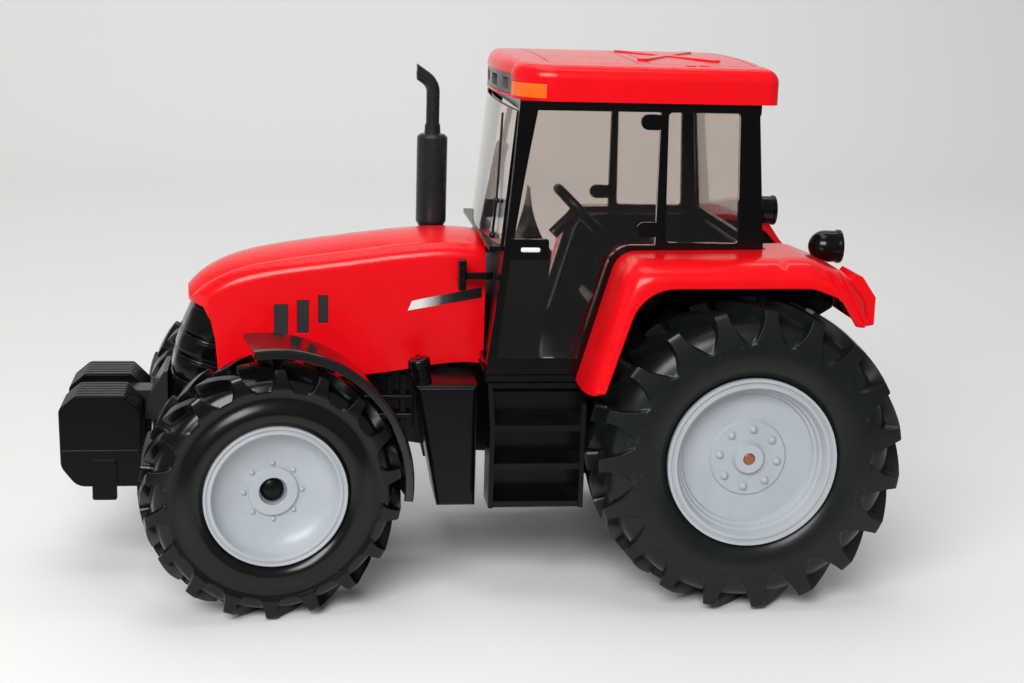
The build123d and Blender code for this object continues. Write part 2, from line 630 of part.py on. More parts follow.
CAP_PLANE = neck_plane.offset(9.0 + 0.05)
with BuildPart() as filler_cap:
    with BuildSketch(CAP_PLANE):
        Circle(NECK_R + 1.1)
    extrude(amount=3.2)
    fillet(filler_cap.edges().group_by(Axis.Z)[-1], radius=1.0)
    with BuildSketch(CAP_PLANE.offset(3.2)):
        Rectangle(6, 1.4)
    extrude(amount=0.8)
save(filler_cap, "filler_cap")

# ---- access steps below each door -----------------------------------------------------------
STEP_X0, STEP_X1 = 59.6, 95.2
STEP_BACK_Y, STEP_OUTER_Y = 46.4, 61.0
STEP_FOOT_Z = 36.9
STEP_TREADS = (39.6, 54.2, 68.8)  # tops of the treads
TREAD_T = 2.2
STEP_WALL = 1.8
STEP_TOP_Z = CAB_FLOOR_Z - 2.9  # under the sill and the fender's foot
# each side cheek leans in to the sill at its top: (ahead, height where it starts to lean)
CHEEKS = ((STEP_X0, 77.0), (STEP_X1 - STEP_WALL, 68.6))
for name, side in SIDES:
    with BuildPart() as steps:
        for ahead, knee in CHEEKS:
            with BuildSketch(cross_plane(ahead)):
                with BuildLine():
                    Polyline((side * STEP_BACK_Y, STEP_FOOT_Z), (side * STEP_OUTER_Y, STEP_FOOT_Z),
                             (side * STEP_OUTER_Y, knee), (side * 51.5, STEP_TOP_Z),
                             (side * STEP_BACK_Y, STEP_TOP_Z), close=True)
                make_face()
            extrude(amount=STEP_WALL)
        for top in STEP_TREADS:
            with BuildSketch(cross_plane(STEP_X0 + 0.2)):
                with BuildLine():
                    Polyline((side * STEP_BACK_Y, top + 0.8), (side * (STEP_OUTER_Y - 0.8), top - 0.4),
                             (side * (STEP_OUTER_Y - 0.8), top - TREAD_T - 0.4),
                             (side * STEP_BACK_Y, top - TREAD_T), close=True)
                make_face()
            extrude(amount=STEP_X1 - STEP_X0 - 0.4)
        with BuildSketch(cross_plane(STEP_X0 + 0.2)):
            with BuildLine():
                Polyline((side * STEP_BACK_Y, STEP_FOOT_Z), (side * STEP_BACK_Y, STEP_TOP_Z),
                         (side * 51.5, STEP_TOP_Z), (side * 51.5, STEP_TOP_Z - 2),
                         (side * (STEP_BACK_Y + STEP_WALL), STEP_TOP_Z - 4),
                         (side * (STEP_BACK_Y + STEP_WALL), STEP_FOOT_Z), close=True)
            make_face()
        extrude(amount=STEP_X1 - STEP_X0 - 0.4)
    save(steps, f"{name}_steps")

# ---- rear fenders ---------------------------------------------------------------------------
# outer line of the fender from the sill up, over the wheel and down to the tail: (ahead, height)
FENDER_LINE = [(62.4, 83.1), (48.2, 132.2), (-19.0, 133.2), (-33.4, 127.6), (-41.4, 119.0), (-41.4, 108.6)]
FENDER_BENDS = [9.0, 14.0, 10.0, 6.0]  # radius at each inner corner of the line
# lower edge of the outer skirt, from the tail forward and down: (ahead, height)
SKIRT_LINE = [(-35.8, 109.4), (-29.5, 119.4), (-19.0, 123.3), (34.0, 122.9), (45.5, 116.6), (56.0, 83.1)]
SKIRT_BENDS = [5.0, 12.0, 12.0, 10.0]
EDGE_ROLL = 2.1  # radius of the roll between the fender's top and its skirt
TAIL_FROM, TAIL_INNER_Y = -7.3, 36.5  # behind the cab the fender reaches further in
TAIL_LIGHT = [(-33.2, 125.0), (-35.6, 128.2), (-38.4, 127.0), (-43.8, 119.4), (-43.8, 109.2), (-40.4, 108.6)]


def fender_line(inset, line=FENDER_LINE):
    """The fender's line moved inwards, its bends kept concentric."""
    bends = FENDER_BENDS[: len(line) - 2]
    return FilletPolyline(*parallel(line, -inset), radius=[max(bend - inset, 0.4) for bend in bends])


def tail_line(inset, start):
    """The part of the fender's line behind the cab, from a start ahead of the axle, moved inwards."""
    (x0, z0), (x1, z1) = FENDER_LINE[1:3]
    line = parallel([(start, z1 + (start - x1) * (z0 - z1) / (x0 - x1)), *FENDER_LINE[2:]], -inset)
    return FilletPolyline(*line, radius=[max(bend - inset, 0.4) for bend in FENDER_BENDS[1:]])


for name, side in SIDES:
    with BuildPart() as fender:
        with BuildSketch(side_plane(side * FENDER_OUTER_Y)):
            with BuildLine():
                top = fender_line(0)
                under = FilletPolyline(*SKIRT_LINE, radius=SKIRT_BENDS)
                Line(top @ 1, under @ 0)
                Line(under @ 1, top @ 0)
            make_face()
        extrude(amount=side * SKIN)
        with BuildSketch(side_plane(side * (FENDER_OUTER_Y - SKIN))):
            with BuildLine():
                top = fender_line(0)
                under = fender_line(SKIN)
                Line(top @ 1, under @ 1)
                Line(under @ 0, top @ 0)
            make_face()
        extrude(amount=side * (FENDER_OUTER_Y - SKIN - FENDER_INNER_Y))
        # the roll runs along the outer edge of the top, from the sill to the tail
        tops = fender.faces().filter_by(lambda face: face.bounding_box().size.Y > FENDER_OUTER_Y / 3)
        rims = [edge for edge in tops.edges() if abs(edge.center().Y) > FENDER_OUTER_Y - 0.01]
        rims = [edge for edge in rims if edge.bounding_box().size.Z > 1.0 or edge.length > 30]
        fillet(rims, radius=EDGE_ROLL)
        with BuildSketch(side_plane(side * FENDER_INNER_Y)):
            with BuildLine():
                top = tail_line(0, TAIL_FROM)
                under = tail_line(SKIN, TAIL_FROM)
                Line(top @ 1, under @ 1)
                Line(under @ 0, top @ 0)
            make_face()
        extrude(amount=side * (FENDER_INNER_Y - TAIL_INNER_Y))
        # the moulded tail light and the two ridges that run down from it
        with BuildSketch(side_plane(side * 72)):
            with BuildLine():
                Polyline(*TAIL_LIGHT, close=True)
            make_face()
        extrude(amount=side * 16)
        with BuildSketch(side_plane(side * (FENDER_OUTER_Y + 0.7))):
            for shift in (0, 4.4):
                with BuildLine():
                    Polyline((-23.0 - shift, 130.2), (-25.4 - shift, 129.2 - shift / 2),
                             (-38.2 - shift / 2, 110.4), (-36.4 - shift / 2, 110.4), close=True)
                make_face()
        extrude(amount=side * 1.4)
    save(fender, f"{name}_fender")

# ---- cab: tub, frame, glazing and roof ------------------------------------------------------
WELL_WALL = 1.6
LINER_T = 1.6
# the stretch of the fender's line that the liner follows
LINER_LINE = [(62.08, 84.2), *FENDER_LINE[1:4], (-39.0, 121.58)]
LEDGE_W = 6.0  # how far the liner reaches under the fender, which rests on it
FRONT_FLOOR_X0, FLOOR_X1 = 62.6, 96.0
FLOOR_X0 = -3.5
FLOOR_T = 2.4
COWL_Z = 131.2  # underside of the cowl, over the bonnet's back
with BuildPart() as cab_tub:
    with BuildSketch(level_plane(CAB_FLOOR_Z - FLOOR_T)):
        with Locations(((FLOOR_X0 + FLOOR_X1) / 2, 0)):
            Rectangle(FLOOR_X1 - FLOOR_X0, 2 * WELL_Y)
        with Locations(((FRONT_FLOOR_X0 + FLOOR_X1) / 2, 0)):
            Rectangle(FLOOR_X1 - FRONT_FLOOR_X0, 2 * CAB_HALF_W + 2)
    extrude(amount=FLOOR_T - FIT)
    with BuildSketch(level_plane(CAB_FLOOR_Z - FLOOR_T - 1)):
        with Locations(((BONNET_BACK - 2 + FLOOR_X1 + 2) / 2, 0)):
            Rectangle(FLOOR_X1 - BONNET_BACK + 4, 2 * BONNET_HALF_W + 1)
    extrude(amount=FLOOR_T + 2, mode=Mode.SUBTRACT)
    for name, side in SIDES:
        # wall between the wheel and the cab
        with BuildSketch(side_plane(side * WELL_Y)):
            with BuildLine():
                top = fender_line(LINER_T, LINER_LINE)
                Polyline(top @ 1, (-30, 112), (-8, 96), (FLOOR_X0, CAB_FLOOR_Z - FLOOR_T), top @ 0)
            make_face()
        extrude(amount=side * WELL_WALL)
        # liner over the wheel, level with the fender, and the ledge that carries the fender
        for outer_y, inner_y, depth in (
            (FENDER_INNER_Y - FIT, WELL_Y - WELL_WALL, 0.0),
            (FENDER_INNER_Y + LEDGE_W, WELL_Y - WELL_WALL, SKIN + FIT),
        ):
            with BuildSketch(side_plane(side * outer_y)):
                with BuildLine():
                    top = fender_line(depth, LINER_LINE)
                    under = fender_line(SKIN + FIT + LINER_T, LINER_LINE)
                    Line(top @ 1, under @ 1)
                    Line(under @ 0, top @ 0)
                make_face()
            extrude(amount=side * (outer_y - inner_y))
        with BuildSketch(side_plane(side * (FENDER_INNER_Y + 1))):
            with BuildLine():
                under = tail_line(SKIN + FIT, TAIL_FROM + FIT)
                Polyline(under @ 1, (-60, 108), (-60, 150), (TAIL_FROM + FIT, 150), under @ 0)
            make_face()
        extrude(amount=side * (FENDER_INNER_Y + 1 - TAIL_INNER_Y + 1), mode=Mode.SUBTRACT)
    # back wall, and the cowl with its wall below the windscreen
    with BuildSketch(cross_plane(FLOOR_X0)):
        with Locations((0, (CAB_FLOOR_Z + 132) / 2)):
            Rectangle(2 * WELL_Y, 132 - CAB_FLOOR_Z)
    extrude(amount=2)
    with BuildSketch(side_plane(CAB_HALF_W - CAB_WALL - FIT)):
        with BuildLine():
            Polyline((93.8, CAB_FLOOR_Z - 1), (91.8, CAB_FLOOR_Z - 1), (88.4, COWL_Z), (88.2, COWL_Z + 1.6),
                     (95.6, COWL_Z + 1.6), (95.6, COWL_Z), (90.4, COWL_Z), close=True)
        make_face()
    extrude(amount=2 * (CAB_HALF_W - CAB_WALL - FIT))
save(cab_tub, "cab_tub")

PILLAR_BACK_TOP, PILLAR_BACK_FOOT_X = (-2.2, ROOF_BASE_Z), -6.6
WINDOW_TOP = 183.2
LIP = 1.9  # the frame's width along the fender
PANE_SET = 0.6  # how far a pane's face lies inside the frame's
TAB_LONG, TAB_HIGH = 8.6, 5.6  # the door's hinge tabs
HINGES = (179.6, 140.2)
HANDLE = (81.2, 132.6, 14.0, 7.6)  # middle ahead, middle height, length, height
DOOR_BEND = 9.0


def frame_foot(lift):
    """The fender's line as far back as the cab reaches, moved outwards by a lift."""
    line = parallel(FENDER_LINE[:3], lift)
    rise = (line[2][1] - line[1][1]) / (line[2][0] - line[1][0])
    return [line[0], line[1], (PILLAR_BACK_FOOT_X, line[1][1] + rise * (PILLAR_BACK_FOOT_X - line[1][0]))]


def door_outline(inset):
    """The door's opening: along the front pillar, the sill, the fender and the middle pillar."""
    lip = parallel(FENDER_LINE[:3], LIP + inset)
    sill = (61.8, 91.4 + inset)
    corner = (lip[1][0] + 0.2, lip[1][1])
    ThreePointArc((79.6 - inset, WINDOW_TOP - inset), (86.8 - inset, 137.0), (92.0 - inset, 91.4 + inset))
    Line((92.0 - inset, 91.4 + inset), (sill[0] + inset, sill[1]))
    FilletPolyline((sill[0] + inset, sill[1]), corner, (34.2 + inset, lip[1][1] + 0.1), radius=DOOR_BEND)
    Line((34.2 + inset, lip[1][1] + 0.1), (34.2 + inset, WINDOW_TOP - inset))
    Line((34.2 + inset, WINDOW_TOP - inset), (79.6 - inset, WINDOW_TOP - inset))


def rear_outline(inset):
    """The small window behind the door."""
    FilletPolyline((31.6 - inset, WINDOW_TOP - inset), (30.6 - inset, 135.2 + inset),
                   (2.8 + inset, 135.0 + inset), (4.6 + inset, WINDOW_TOP - inset),
                   radius=1.6, close=True)


OUTLINES = {"door_window": door_outline, "rear_side_window": rear_outline}
with BuildPart() as cab_frame:
    for name, side in SIDES:
        foot = frame_foot(FIT)
        with BuildSketch(side_plane(side * CAB_HALF_W)):
            with BuildLine():
                ThreePointArc((86.2, ROOF_BASE_Z), (89.9, 138.0), (96.4, CAB_FLOOR_Z))
                Line((96.4, CAB_FLOOR_Z), (foot[0][0] - 0.6, CAB_FLOOR_Z))
                FilletPolyline((foot[0][0] - 0.6, CAB_FLOOR_Z), foot[1], foot[2], radius=DOOR_BEND)
                Polyline(foot[2], PILLAR_BACK_TOP, (86.2, ROOF_BASE_Z))
            make_face()
        extrude(amount=side * CAB_WALL)
        for outline in OUTLINES.values():
            with BuildSketch(side_plane(side * (CAB_HALF_W + 1))):
                with BuildLine():
                    outline(0)
                make_face()
            extrude(amount=side * (CAB_WALL + 2), mode=Mode.SUBTRACT)
        # hinge tabs on the middle pillar and the handle's block on the front one
        with BuildSketch(side_plane(side * (CAB_HALF_W + 1.2))):
            for height in HINGES:
                with Locations((33.2 + TAB_LONG / 2, height)):
                    SlotOverall(TAB_LONG, TAB_HIGH)
                with Locations((33.4, height)):
                    Rectangle(2.4, TAB_HIGH)
        extrude(amount=side * (1.2 + PANE_SET - 0.05))
        with BuildSketch(side_plane(side * (CAB_HALF_W + 1.6))):
            with Locations(HANDLE[:2]):
                RectangleRounded(*HANDLE[2:], 0.8)
        extrude(amount=side * (1.6 + PANE_SET - 0.05))
    # rails across the front and the back
    for ahead, low, high in ((82.6, WINDOW_TOP - 0.6, ROOF_BASE_Z), (-3.0, WINDOW_TOP - 0.6, ROOF_BASE_Z),
                             (-5.4, 133.2, 136.0)):
        with BuildSketch(cross_plane(ahead)):
            with Locations((0, (low + high) / 2)):
                Rectangle(2 * CAB_HALF_W - 0.4, high - low)
        extrude(amount=3)
    with BuildSketch(cross_plane(93.9)):
        for side in (1, -1):
            with Locations((side * (CAB_HALF_W + BONNET_HALF_W) / 2, CAB_FLOOR_Z + 1.6)):
                Rectangle(CAB_HALF_W - BONNET_HALF_W - 0.8, 3.2)
    extrude(amount=1.6)
save(cab_frame, "cab_frame")

for name, side in SIDES:
    for window, outline in OUTLINES.items():
        with BuildPart() as pane:
            with BuildSketch(side_plane(side * (CAB_HALF_W - PANE_SET))):
                with BuildLine():
                    outline(FIT)
                make_face()
            extrude(amount=side * PANE)
        save(pane, f"{name}_{window}")

SCREEN_HALF_W = CAB_HALF_W - CAB_WALL - FIT
# (height, ahead at the sides, ahead in the middle) of the windscreen's outer face
SCREEN_FOOT = (COWL_Z + 1.6 + FIT, 91.6, 95.4)
SCREEN_TOP = (WINDOW_TOP - 0.7, 86.9, 89.4)
with BuildPart() as windscreen:
    for height, at_side, at_middle in (SCREEN_FOOT, SCREEN_TOP):
        with BuildSketch(level_plane(height)):
            with BuildLine():
                ThreePointArc((at_side, -SCREEN_HALF_W), (at_middle, 0), (at_side, SCREEN_HALF_W))
                Line((at_side, SCREEN_HALF_W), (at_side - PANE, SCREEN_HALF_W))
                ThreePointArc((at_side - PANE, SCREEN_HALF_W), (at_middle - PANE, 0),
                              (at_side - PANE, -SCREEN_HALF_W))
                Line((at_side - PANE, -SCREEN_HALF_W), (at_side, -SCREEN_HALF_W))
            make_face()
    loft(ruled=True)
save(windscreen, "windscreen")

with BuildPart() as rear_window:
    with BuildSketch(side_plane(SCREEN_HALF_W)):
        with BuildLine():
            Polyline((-4.9, 136.1), (-1.4, WINDOW_TOP - 0.7), (-1.4 + PANE, WINDOW_TOP - 0.7),
                     (-4.9 + PANE, 136.1), close=True)
        make_face()
    extrude(amount=2 * SCREEN_HALF_W)
save(rear_window, "rear_window")

ROOF_BACK, ROOF_FRONT = -9.1, 91.4
ROOF_ROLL = 4.8
GROOVE = 0.5  # depth and width of the roof's panel lines
PANEL_CUT = 1.6  # deep enough to mark the crown from its middle to its edges
RIB_H = 0.9
LAMP_DEPTH, LAMP_HALF_W = 5.0, 36.0
MARKER_T, MARKER_INNER_Y = 1.0, 36.6
LAMP_BAND = (187.4, 194.8)  # foot and top of the lamp panel in the roof's front
MARKER = (187.4, 192.7, 76.8)  # foot, top and back end of the orange side markers


def roof_outline(inset):
    """Plan of the roof: a bowed front, rounded front corners and nearly square back ones."""
    half = ROOF_HALF_W - inset
    ThreePointArc((ROOF_FRONT - 3.6 - inset, -34), (ROOF_FRONT - inset, 0), (ROOF_FRONT - 3.6 - inset, 34))
    ThreePointArc((ROOF_FRONT - 3.6 - inset, 34), (83.8 - inset, 46.6 - inset), (72.0, half - 0.6))
    Polyline((72.0, half - 0.6), (30.0, half), (ROOF_BACK + 4 + inset, half))
    ThreePointArc((ROOF_BACK + 4 + inset, half), (ROOF_BACK + 1.2 + inset, half - 1.2),
                  (ROOF_BACK + inset, half - 4))
    Line((ROOF_BACK + inset, half - 4), (ROOF_BACK + inset, 4 - half))
    ThreePointArc((ROOF_BACK + inset, 4 - half), (ROOF_BACK + 1.2 + inset, 1.2 - half),
                  (ROOF_BACK + 4 + inset, -half))
    Polyline((ROOF_BACK + 4 + inset, -half), (30.0, -half), (72.0, 0.6 - half))
    ThreePointArc((72.0, 0.6 - half), (83.8 - inset, inset - 46.6), (ROOF_FRONT - 3.6 - inset, -34))


with BuildPart() as roof:
    with BuildSketch(level_plane(ROOF_BASE_Z)):
        with BuildLine():
            roof_outline(0)
        make_face()
    extrude(amount=ROOF_EDGE_Z + ROOF_CROWN + 2 - ROOF_BASE_Z)
    # the crown, one large round along the tractor
    with BuildSketch(cross_plane(ROOF_BACK - 1)):
        with BuildLine():
            Polyline((-60, ROOF_BASE_Z), (60, ROOF_BASE_Z), (60, ROOF_EDGE_Z))
            ThreePointArc((60, ROOF_EDGE_Z), (0, ROOF_EDGE_Z + ROOF_CROWN), (-60, ROOF_EDGE_Z))
            Line((-60, ROOF_EDGE_Z), (-60, ROOF_BASE_Z))
        make_face()
    extrude(amount=ROOF_FRONT - ROOF_BACK + 2, mode=Mode.INTERSECT)
    fillet(roof.faces().sort_by(Axis.Z)[-1].edges(), radius=ROOF_ROLL)
    # panel lines: one frame ahead, one behind, and two ribs along the front panel
    for x0, x1, half in ((41.0, 75.0, 40.0), (-3.0, 37.0, 40.0)):
        with BuildSketch(level_plane(ROOF_EDGE_Z + ROOF_CROWN)):
            with Locations(((x0 + x1) / 2, 0)):
                RectangleRounded(x1 - x0, 2 * half, 3)
                RectangleRounded(x1 - x0 - 2 * GROOVE, 2 * (half - GROOVE), 2.5, mode=Mode.SUBTRACT)
        extrude(amount=-PANEL_CUT, mode=Mode.SUBTRACT)
    with BuildSketch(level_plane(ROOF_EDGE_Z + ROOF_CROWN)):
        with Locations((58.0, 12.5), (58.0, -12.5)):
            Rectangle(33.0, GROOVE)
        # small half-moon recesses at the back
        with Locations((20.0, 42.8), (20.0, -42.8)):
            SlotOverall(9.6, 4.0)
            Rectangle(1.2, 4.2, mode=Mode.SUBTRACT)
    extrude(amount=-PANEL_CUT, mode=Mode.SUBTRACT)
    # crossed strengthening ribs
    with BuildSketch(level_plane(ROOF_EDGE_Z - 1)):
        with Locations((23.0, 0)):
            for lean in (60, -60):
                with Locations(Rotation(0, 0, lean)):
                    SlotOverall(59, 4.4)
    extrude(amount=1 + ROOF_CROWN + RIB_H - 0.5)
    # recess for the lamp panel across the front, and shallow ones for the side markers
    with BuildSketch(level_plane(LAMP_BAND[0])):
        with Locations((ROOF_FRONT, 0)):
            Rectangle(2 * LAMP_DEPTH, 2 * LAMP_HALF_W)
    extrude(amount=LAMP_BAND[1] - LAMP_BAND[0], mode=Mode.SUBTRACT)
    with BuildSketch(level_plane(MARKER[0])):
        with BuildLine():
            roof_outline(-1)
        make_face()
        with BuildLine():
            roof_outline(MARKER_T)
        make_face(mode=Mode.SUBTRACT)
        with Locations(((MARKER[2] + 100) / 2, 0)):
            Rectangle(100 - MARKER[2], 200, mode=Mode.INTERSECT)
        with Locations((ROOF_FRONT, 0)):
            Rectangle(60, 2 * MARKER_INNER_Y, mode=Mode.SUBTRACT)
    extrude(amount=MARKER[1] - MARKER[0], mode=Mode.SUBTRACT)
save(roof, "roof")

with BuildPart() as side_markers:
    with BuildSketch(level_plane(MARKER[0] + FIT)):
        with BuildLine():
            roof_outline(-0.1)
        make_face()
        with BuildLine():
            roof_outline(MARKER_T - FIT)
        make_face(mode=Mode.SUBTRACT)
        with Locations(((MARKER[2] + FIT + 100) / 2, 0)):
            Rectangle(100 - MARKER[2] - FIT, 200, mode=Mode.INTERSECT)
        with Locations((ROOF_FRONT, 0)):
            Rectangle(60, 2 * (MARKER_INNER_Y + FIT), mode=Mode.SUBTRACT)
    extrude(amount=MARKER[1] - MARKER[0] - 2 * FIT)
save(side_markers, "side_markers")

# four lamps behind square openings in a grey band
LAMP_OPENINGS = [-28.0, -9.0, 9.0, 28.0]
with BuildPart() as roof_lamp_panel:
    with BuildSketch(level_plane(LAMP_BAND[0] + FIT)):
        with BuildLine():
            roof_outline(0.3)
        make_face()
        with Locations((ROOF_FRONT, 0)):
            Rectangle(2 * (LAMP_DEPTH - FIT), 2 * (LAMP_HALF_W - FIT), mode=Mode.INTERSECT)
    extrude(amount=LAMP_BAND[1] - LAMP_BAND[0] - 2 * FIT)
    with BuildSketch(cross_plane(ROOF_FRONT - LAMP_DEPTH + 1.6)):
        with Locations(*[(y, (LAMP_BAND[0] + LAMP_BAND[1]) / 2) for y in LAMP_OPENINGS]):
            RectangleRounded(11, 4.2, 0.8)
    extrude(amount=LAMP_DEPTH + 1, mode=Mode.SUBTRACT)
save(roof_lamp_panel, "roof_lamp_panel")

# ---- cab fittings ---------------------------------------------------------------------------
SEAT_BACK = 24.0
SEAT_HALF_W = 12.0
with BuildPart() as seat:
    with BuildSketch(side_plane(SEAT_HALF_W)):
        with BuildLine():
            Polyline((26, CAB_FLOOR_Z), (26, 104), (SEAT_BACK - 2, 129))
            ThreePointArc((SEAT_BACK - 2, 129), (SEAT_BACK + 0.6, 131), (SEAT_BACK + 3, 129))
            ThreePointArc((SEAT_BACK + 3, 129), (SEAT_BACK + 5.6, 118), (SEAT_BACK + 8, 108.5))
            ThreePointArc((SEAT_BACK + 8, 108.5), (40, 107.2), (49, 107.6))
            ThreePointArc((49, 107.6), (51.4, 105), (49, 102))
            Polyline((49, 102), (43, 100), (42, CAB_FLOOR_Z), (26, CAB_FLOOR_Z))
        make_face()
    extrude(amount=2 * SEAT_HALF_W)
    # armrests, one each side of the back
    for side in (1, -1):
        with BuildSketch(side_plane(side * (SEAT_HALF_W + 4))):
            with Locations((36, 116)):
                RectangleRounded(18, 3.6, 1.7)
        extrude(amount=side * 3)
        with BuildSketch(side_plane(side * (SEAT_HALF_W + 1.6))):
            with Locations((29, 116)):
                Circle(1.5)
        extrude(amount=side * 3)
save(seat, "seat")

DASH_HALF_W = 9.0
WHEEL_AHEAD, WHEEL_Z, WHEEL_R = 55.6, 140.4, 12.2
WHEEL_WIRE_R = 1.3
COLUMN_R = 1.9
COLUMN_L = 14.0
with BuildPart() as dashboard:
    with BuildSketch(side_plane(DASH_HALF_W)):
        with BuildLine():
            Line((70, CAB_FLOOR_Z), (66.4, 124.6))
            Line((66.4, 124.6), (69.4, 128.4))
            ThreePointArc((69.4, 128.4), (73.6, 138), (75, 149.4))
            ThreePointArc((75, 149.4), (76.2, 138), (78.4, 129.6))
            ThreePointArc((78.4, 129.6), (83.4, 125.6), (86.4, 118.0))
            Polyline((86.4, 118.0), (86.4, CAB_FLOOR_Z), (70, CAB_FLOOR_Z))
        make_face()
    extrude(amount=2 * DASH_HALF_W)
    with BuildSketch(cross_plane(66)):
        with BuildLine():
            Polyline((-DASH_HALF_W - 1, 150), (-4.2, 150))
            Line((-4.2, 150), (-DASH_HALF_W - 1, 131))
            Line((-DASH_HALF_W - 1, 131), (-DASH_HALF_W - 1, 150))
        make_face()
        mirror(about=Plane.YZ)
    extrude(amount=22, mode=Mode.SUBTRACT)
save(dashboard, "dashboard")

# the wheel's plane leans at 45 degrees, its column goes down and forward into the dash
HUB = Plane(origin=(REAR_AXLE_X + WHEEL_AHEAD, 0, WHEEL_Z), x_dir=(0, 1, 0), z_dir=(1, 0, -1))
with BuildPart() as steering_wheel:
    with BuildSketch(Plane(origin=HUB.origin, x_dir=HUB.x_dir, z_dir=HUB.y_dir)):
        with Locations((WHEEL_R - WHEEL_WIRE_R, 0)):
            Circle(WHEEL_WIRE_R)
    revolve(axis=Axis(HUB.origin, HUB.z_dir))
    with BuildSketch(HUB.offset(-0.4)):
        Circle(3.0)
        for spoke in (90, 210, 330):
            with Locations(Rotation(0, 0, spoke)):
                with Locations((WHEEL_R / 2 - 0.4, 0)):
                    Rectangle(WHEEL_R - 1.6, 2.2)
    extrude(amount=1.6)
    with BuildSketch(HUB):
        Circle(COLUMN_R)
    extrude(amount=COLUMN_L)
save(steering_wheel, "steering_wheel")

# ---- outside fittings -----------------------------------------------------------------------
EXHAUST_AHEAD, EXHAUST_Y = 110.3, -34.0
PIPE_R, MUFFLER_R = 2.7, 6.2
MUFFLER_Z0, MUFFLER_Z1 = 129.5, 165.0
TIP_AHEAD = 117.0
with BuildPart() as exhaust:
    with BuildSketch(Plane(origin=(REAR_AXLE_X + EXHAUST_AHEAD, EXHAUST_Y, 0), x_dir=(1, 0, 0),
                           z_dir=(0, -1, 0))):
        with BuildLine():
            Polyline((0, TANK_TOP_Z + 2), (5.4, TANK_TOP_Z + 2), (4.0, MUFFLER_Z0 - 4),
                     (MUFFLER_R, MUFFLER_Z0), (MUFFLER_R, MUFFLER_Z1 - 1.2), (MUFFLER_R - 1.2, MUFFLER_Z1),
                     (PIPE_R + 0.6, MUFFLER_Z1 + 0.4), (PIPE_R + 0.4, MUFFLER_Z1 + 4), (0, MUFFLER_Z1 + 4),
                     close=True)
        make_face()
    revolve(axis=Axis((REAR_AXLE_X + EXHAUST_AHEAD, EXHAUST_Y, 0), (0, 0, 1)))
    with BuildLine(side_plane(EXHAUST_Y)):
        FilletPolyline((EXHAUST_AHEAD, MUFFLER_Z1), (EXHAUST_AHEAD, 185.4), (TIP_AHEAD + 3, 192.0), radius=7)
    with BuildSketch(Plane(origin=(REAR_AXLE_X + EXHAUST_AHEAD, EXHAUST_Y, MUFFLER_Z1))):
        Circle(PIPE_R)
    sweep()
    with BuildSketch(side_plane(EXHAUST_Y + 6)):
        with Locations((TIP_AHEAD + 5, 192)):
            Rectangle(10, 16)
    extrude(amount=12, mode=Mode.SUBTRACT)
    with BuildSketch(Plane(origin=(REAR_AXLE_X + TIP_AHEAD, EXHAUST_Y, 189.9), x_dir=(0, 1, 0),
                           z_dir=(1, 0, 0.66))):
        Circle(PIPE_R - 0.7)
    extrude(amount=-3, mode=Mode.SUBTRACT)
save(exhaust, "exhaust")

LAMP_Y, LAMP_Z, LAMP_R = 45.0, 133.6, 6.0
LAMP_NOSE, LAMP_RING = -25.7, -37.6
with BuildPart() as work_lamps:
    for side in (1, -1):
        lamp_axis = Plane(origin=(REAR_AXLE_X, side * LAMP_Y, LAMP_Z), x_dir=(1, 0, 0), z_dir=(0, -1, 0))
        with BuildSketch(lamp_axis):
            with BuildLine():
                middle = LAMP_NOSE - LAMP_R
                ThreePointArc((LAMP_NOSE, 0), (middle + LAMP_R * math.cos(math.pi / 4),
                                              LAMP_R * math.sin(math.pi / 4)), (middle, LAMP_R))
                Polyline((middle, LAMP_R), (LAMP_RING + 1.6, LAMP_R - 0.1),
                         (LAMP_RING + 1.2, LAMP_R + 0.3), (LAMP_RING, LAMP_R + 0.3),
                         (LAMP_RING, LAMP_R - 0.7), (LAMP_RING + 1.4, LAMP_R - 1.1),
                         (LAMP_RING + 1.4, 0), (LAMP_NOSE, 0))
            make_face()
        revolve(axis=Axis(lamp_axis.origin, lamp_axis.x_dir))
        # the housing stands on the fender and follows its line
        with BuildSketch(side_plane(side * (LAMP_Y + LAMP_R + 1))):
            with BuildLine():
                foot = tail_line(-FIT, TAIL_FROM)
                Polyline(foot @ 1, (-20, 108), foot @ 0)
            make_face()
        extrude(amount=side * (2 * LAMP_R + 2), mode=Mode.SUBTRACT)
save(work_lamps, "work_lamps")

POST_Y = 31.0
POST = (102.7, 119.3, 4.2, 12.2)  # middle ahead, middle height, length, height
with BuildPart() as indicators:
    for side in (1, -1):
        with BuildSketch(side_plane(side * (POST_Y + 2))):
            with Locations(POST[:2]):
                RectangleRounded(*POST[2:], 1.0)
        extrude(amount=side * 4)
        for height in (122.6, 115.6):
            with BuildSketch(level_plane(height)):
                with Locations(((BONNET_BACK - 2 + POST[0]) / 2, side * POST_Y)):
                    Rectangle(POST[0] - BONNET_BACK + 2, 1.8)
            extrude(amount=1.8)
save(indicators, "indicators")

WIPER_T = 0.9
with BuildPart() as wiper:
    foot, elbow, tip = (COWL_Z + 3.8, 96.2), (148.0, 95.0), (177.0, 92.0)
    for (z0, x0), (z1, x1), y0, y1, wide in ((foot, elbow, 22.0, 21.0, 1.2), (elbow, tip, 21.0, 30.0, 1.6)):
        with BuildSketch(Plane(origin=(REAR_AXLE_X + x0, y0, z0), z_dir=(x1 - x0, y1 - y0, z1 - z0),
                               x_dir=(0, 1, 0))):
            Rectangle(wide, WIPER_T)
        extrude(amount=math.dist((x0, y0, z0), (x1, y1, z1)))
    with Locations((REAR_AXLE_X + elbow[1], 21.0, elbow[0]),
                   (REAR_AXLE_X + foot[1] - 0.4, 22.0, foot[0] - 1.0)):
        Sphere(1.2)
save(wiper, "wiper")

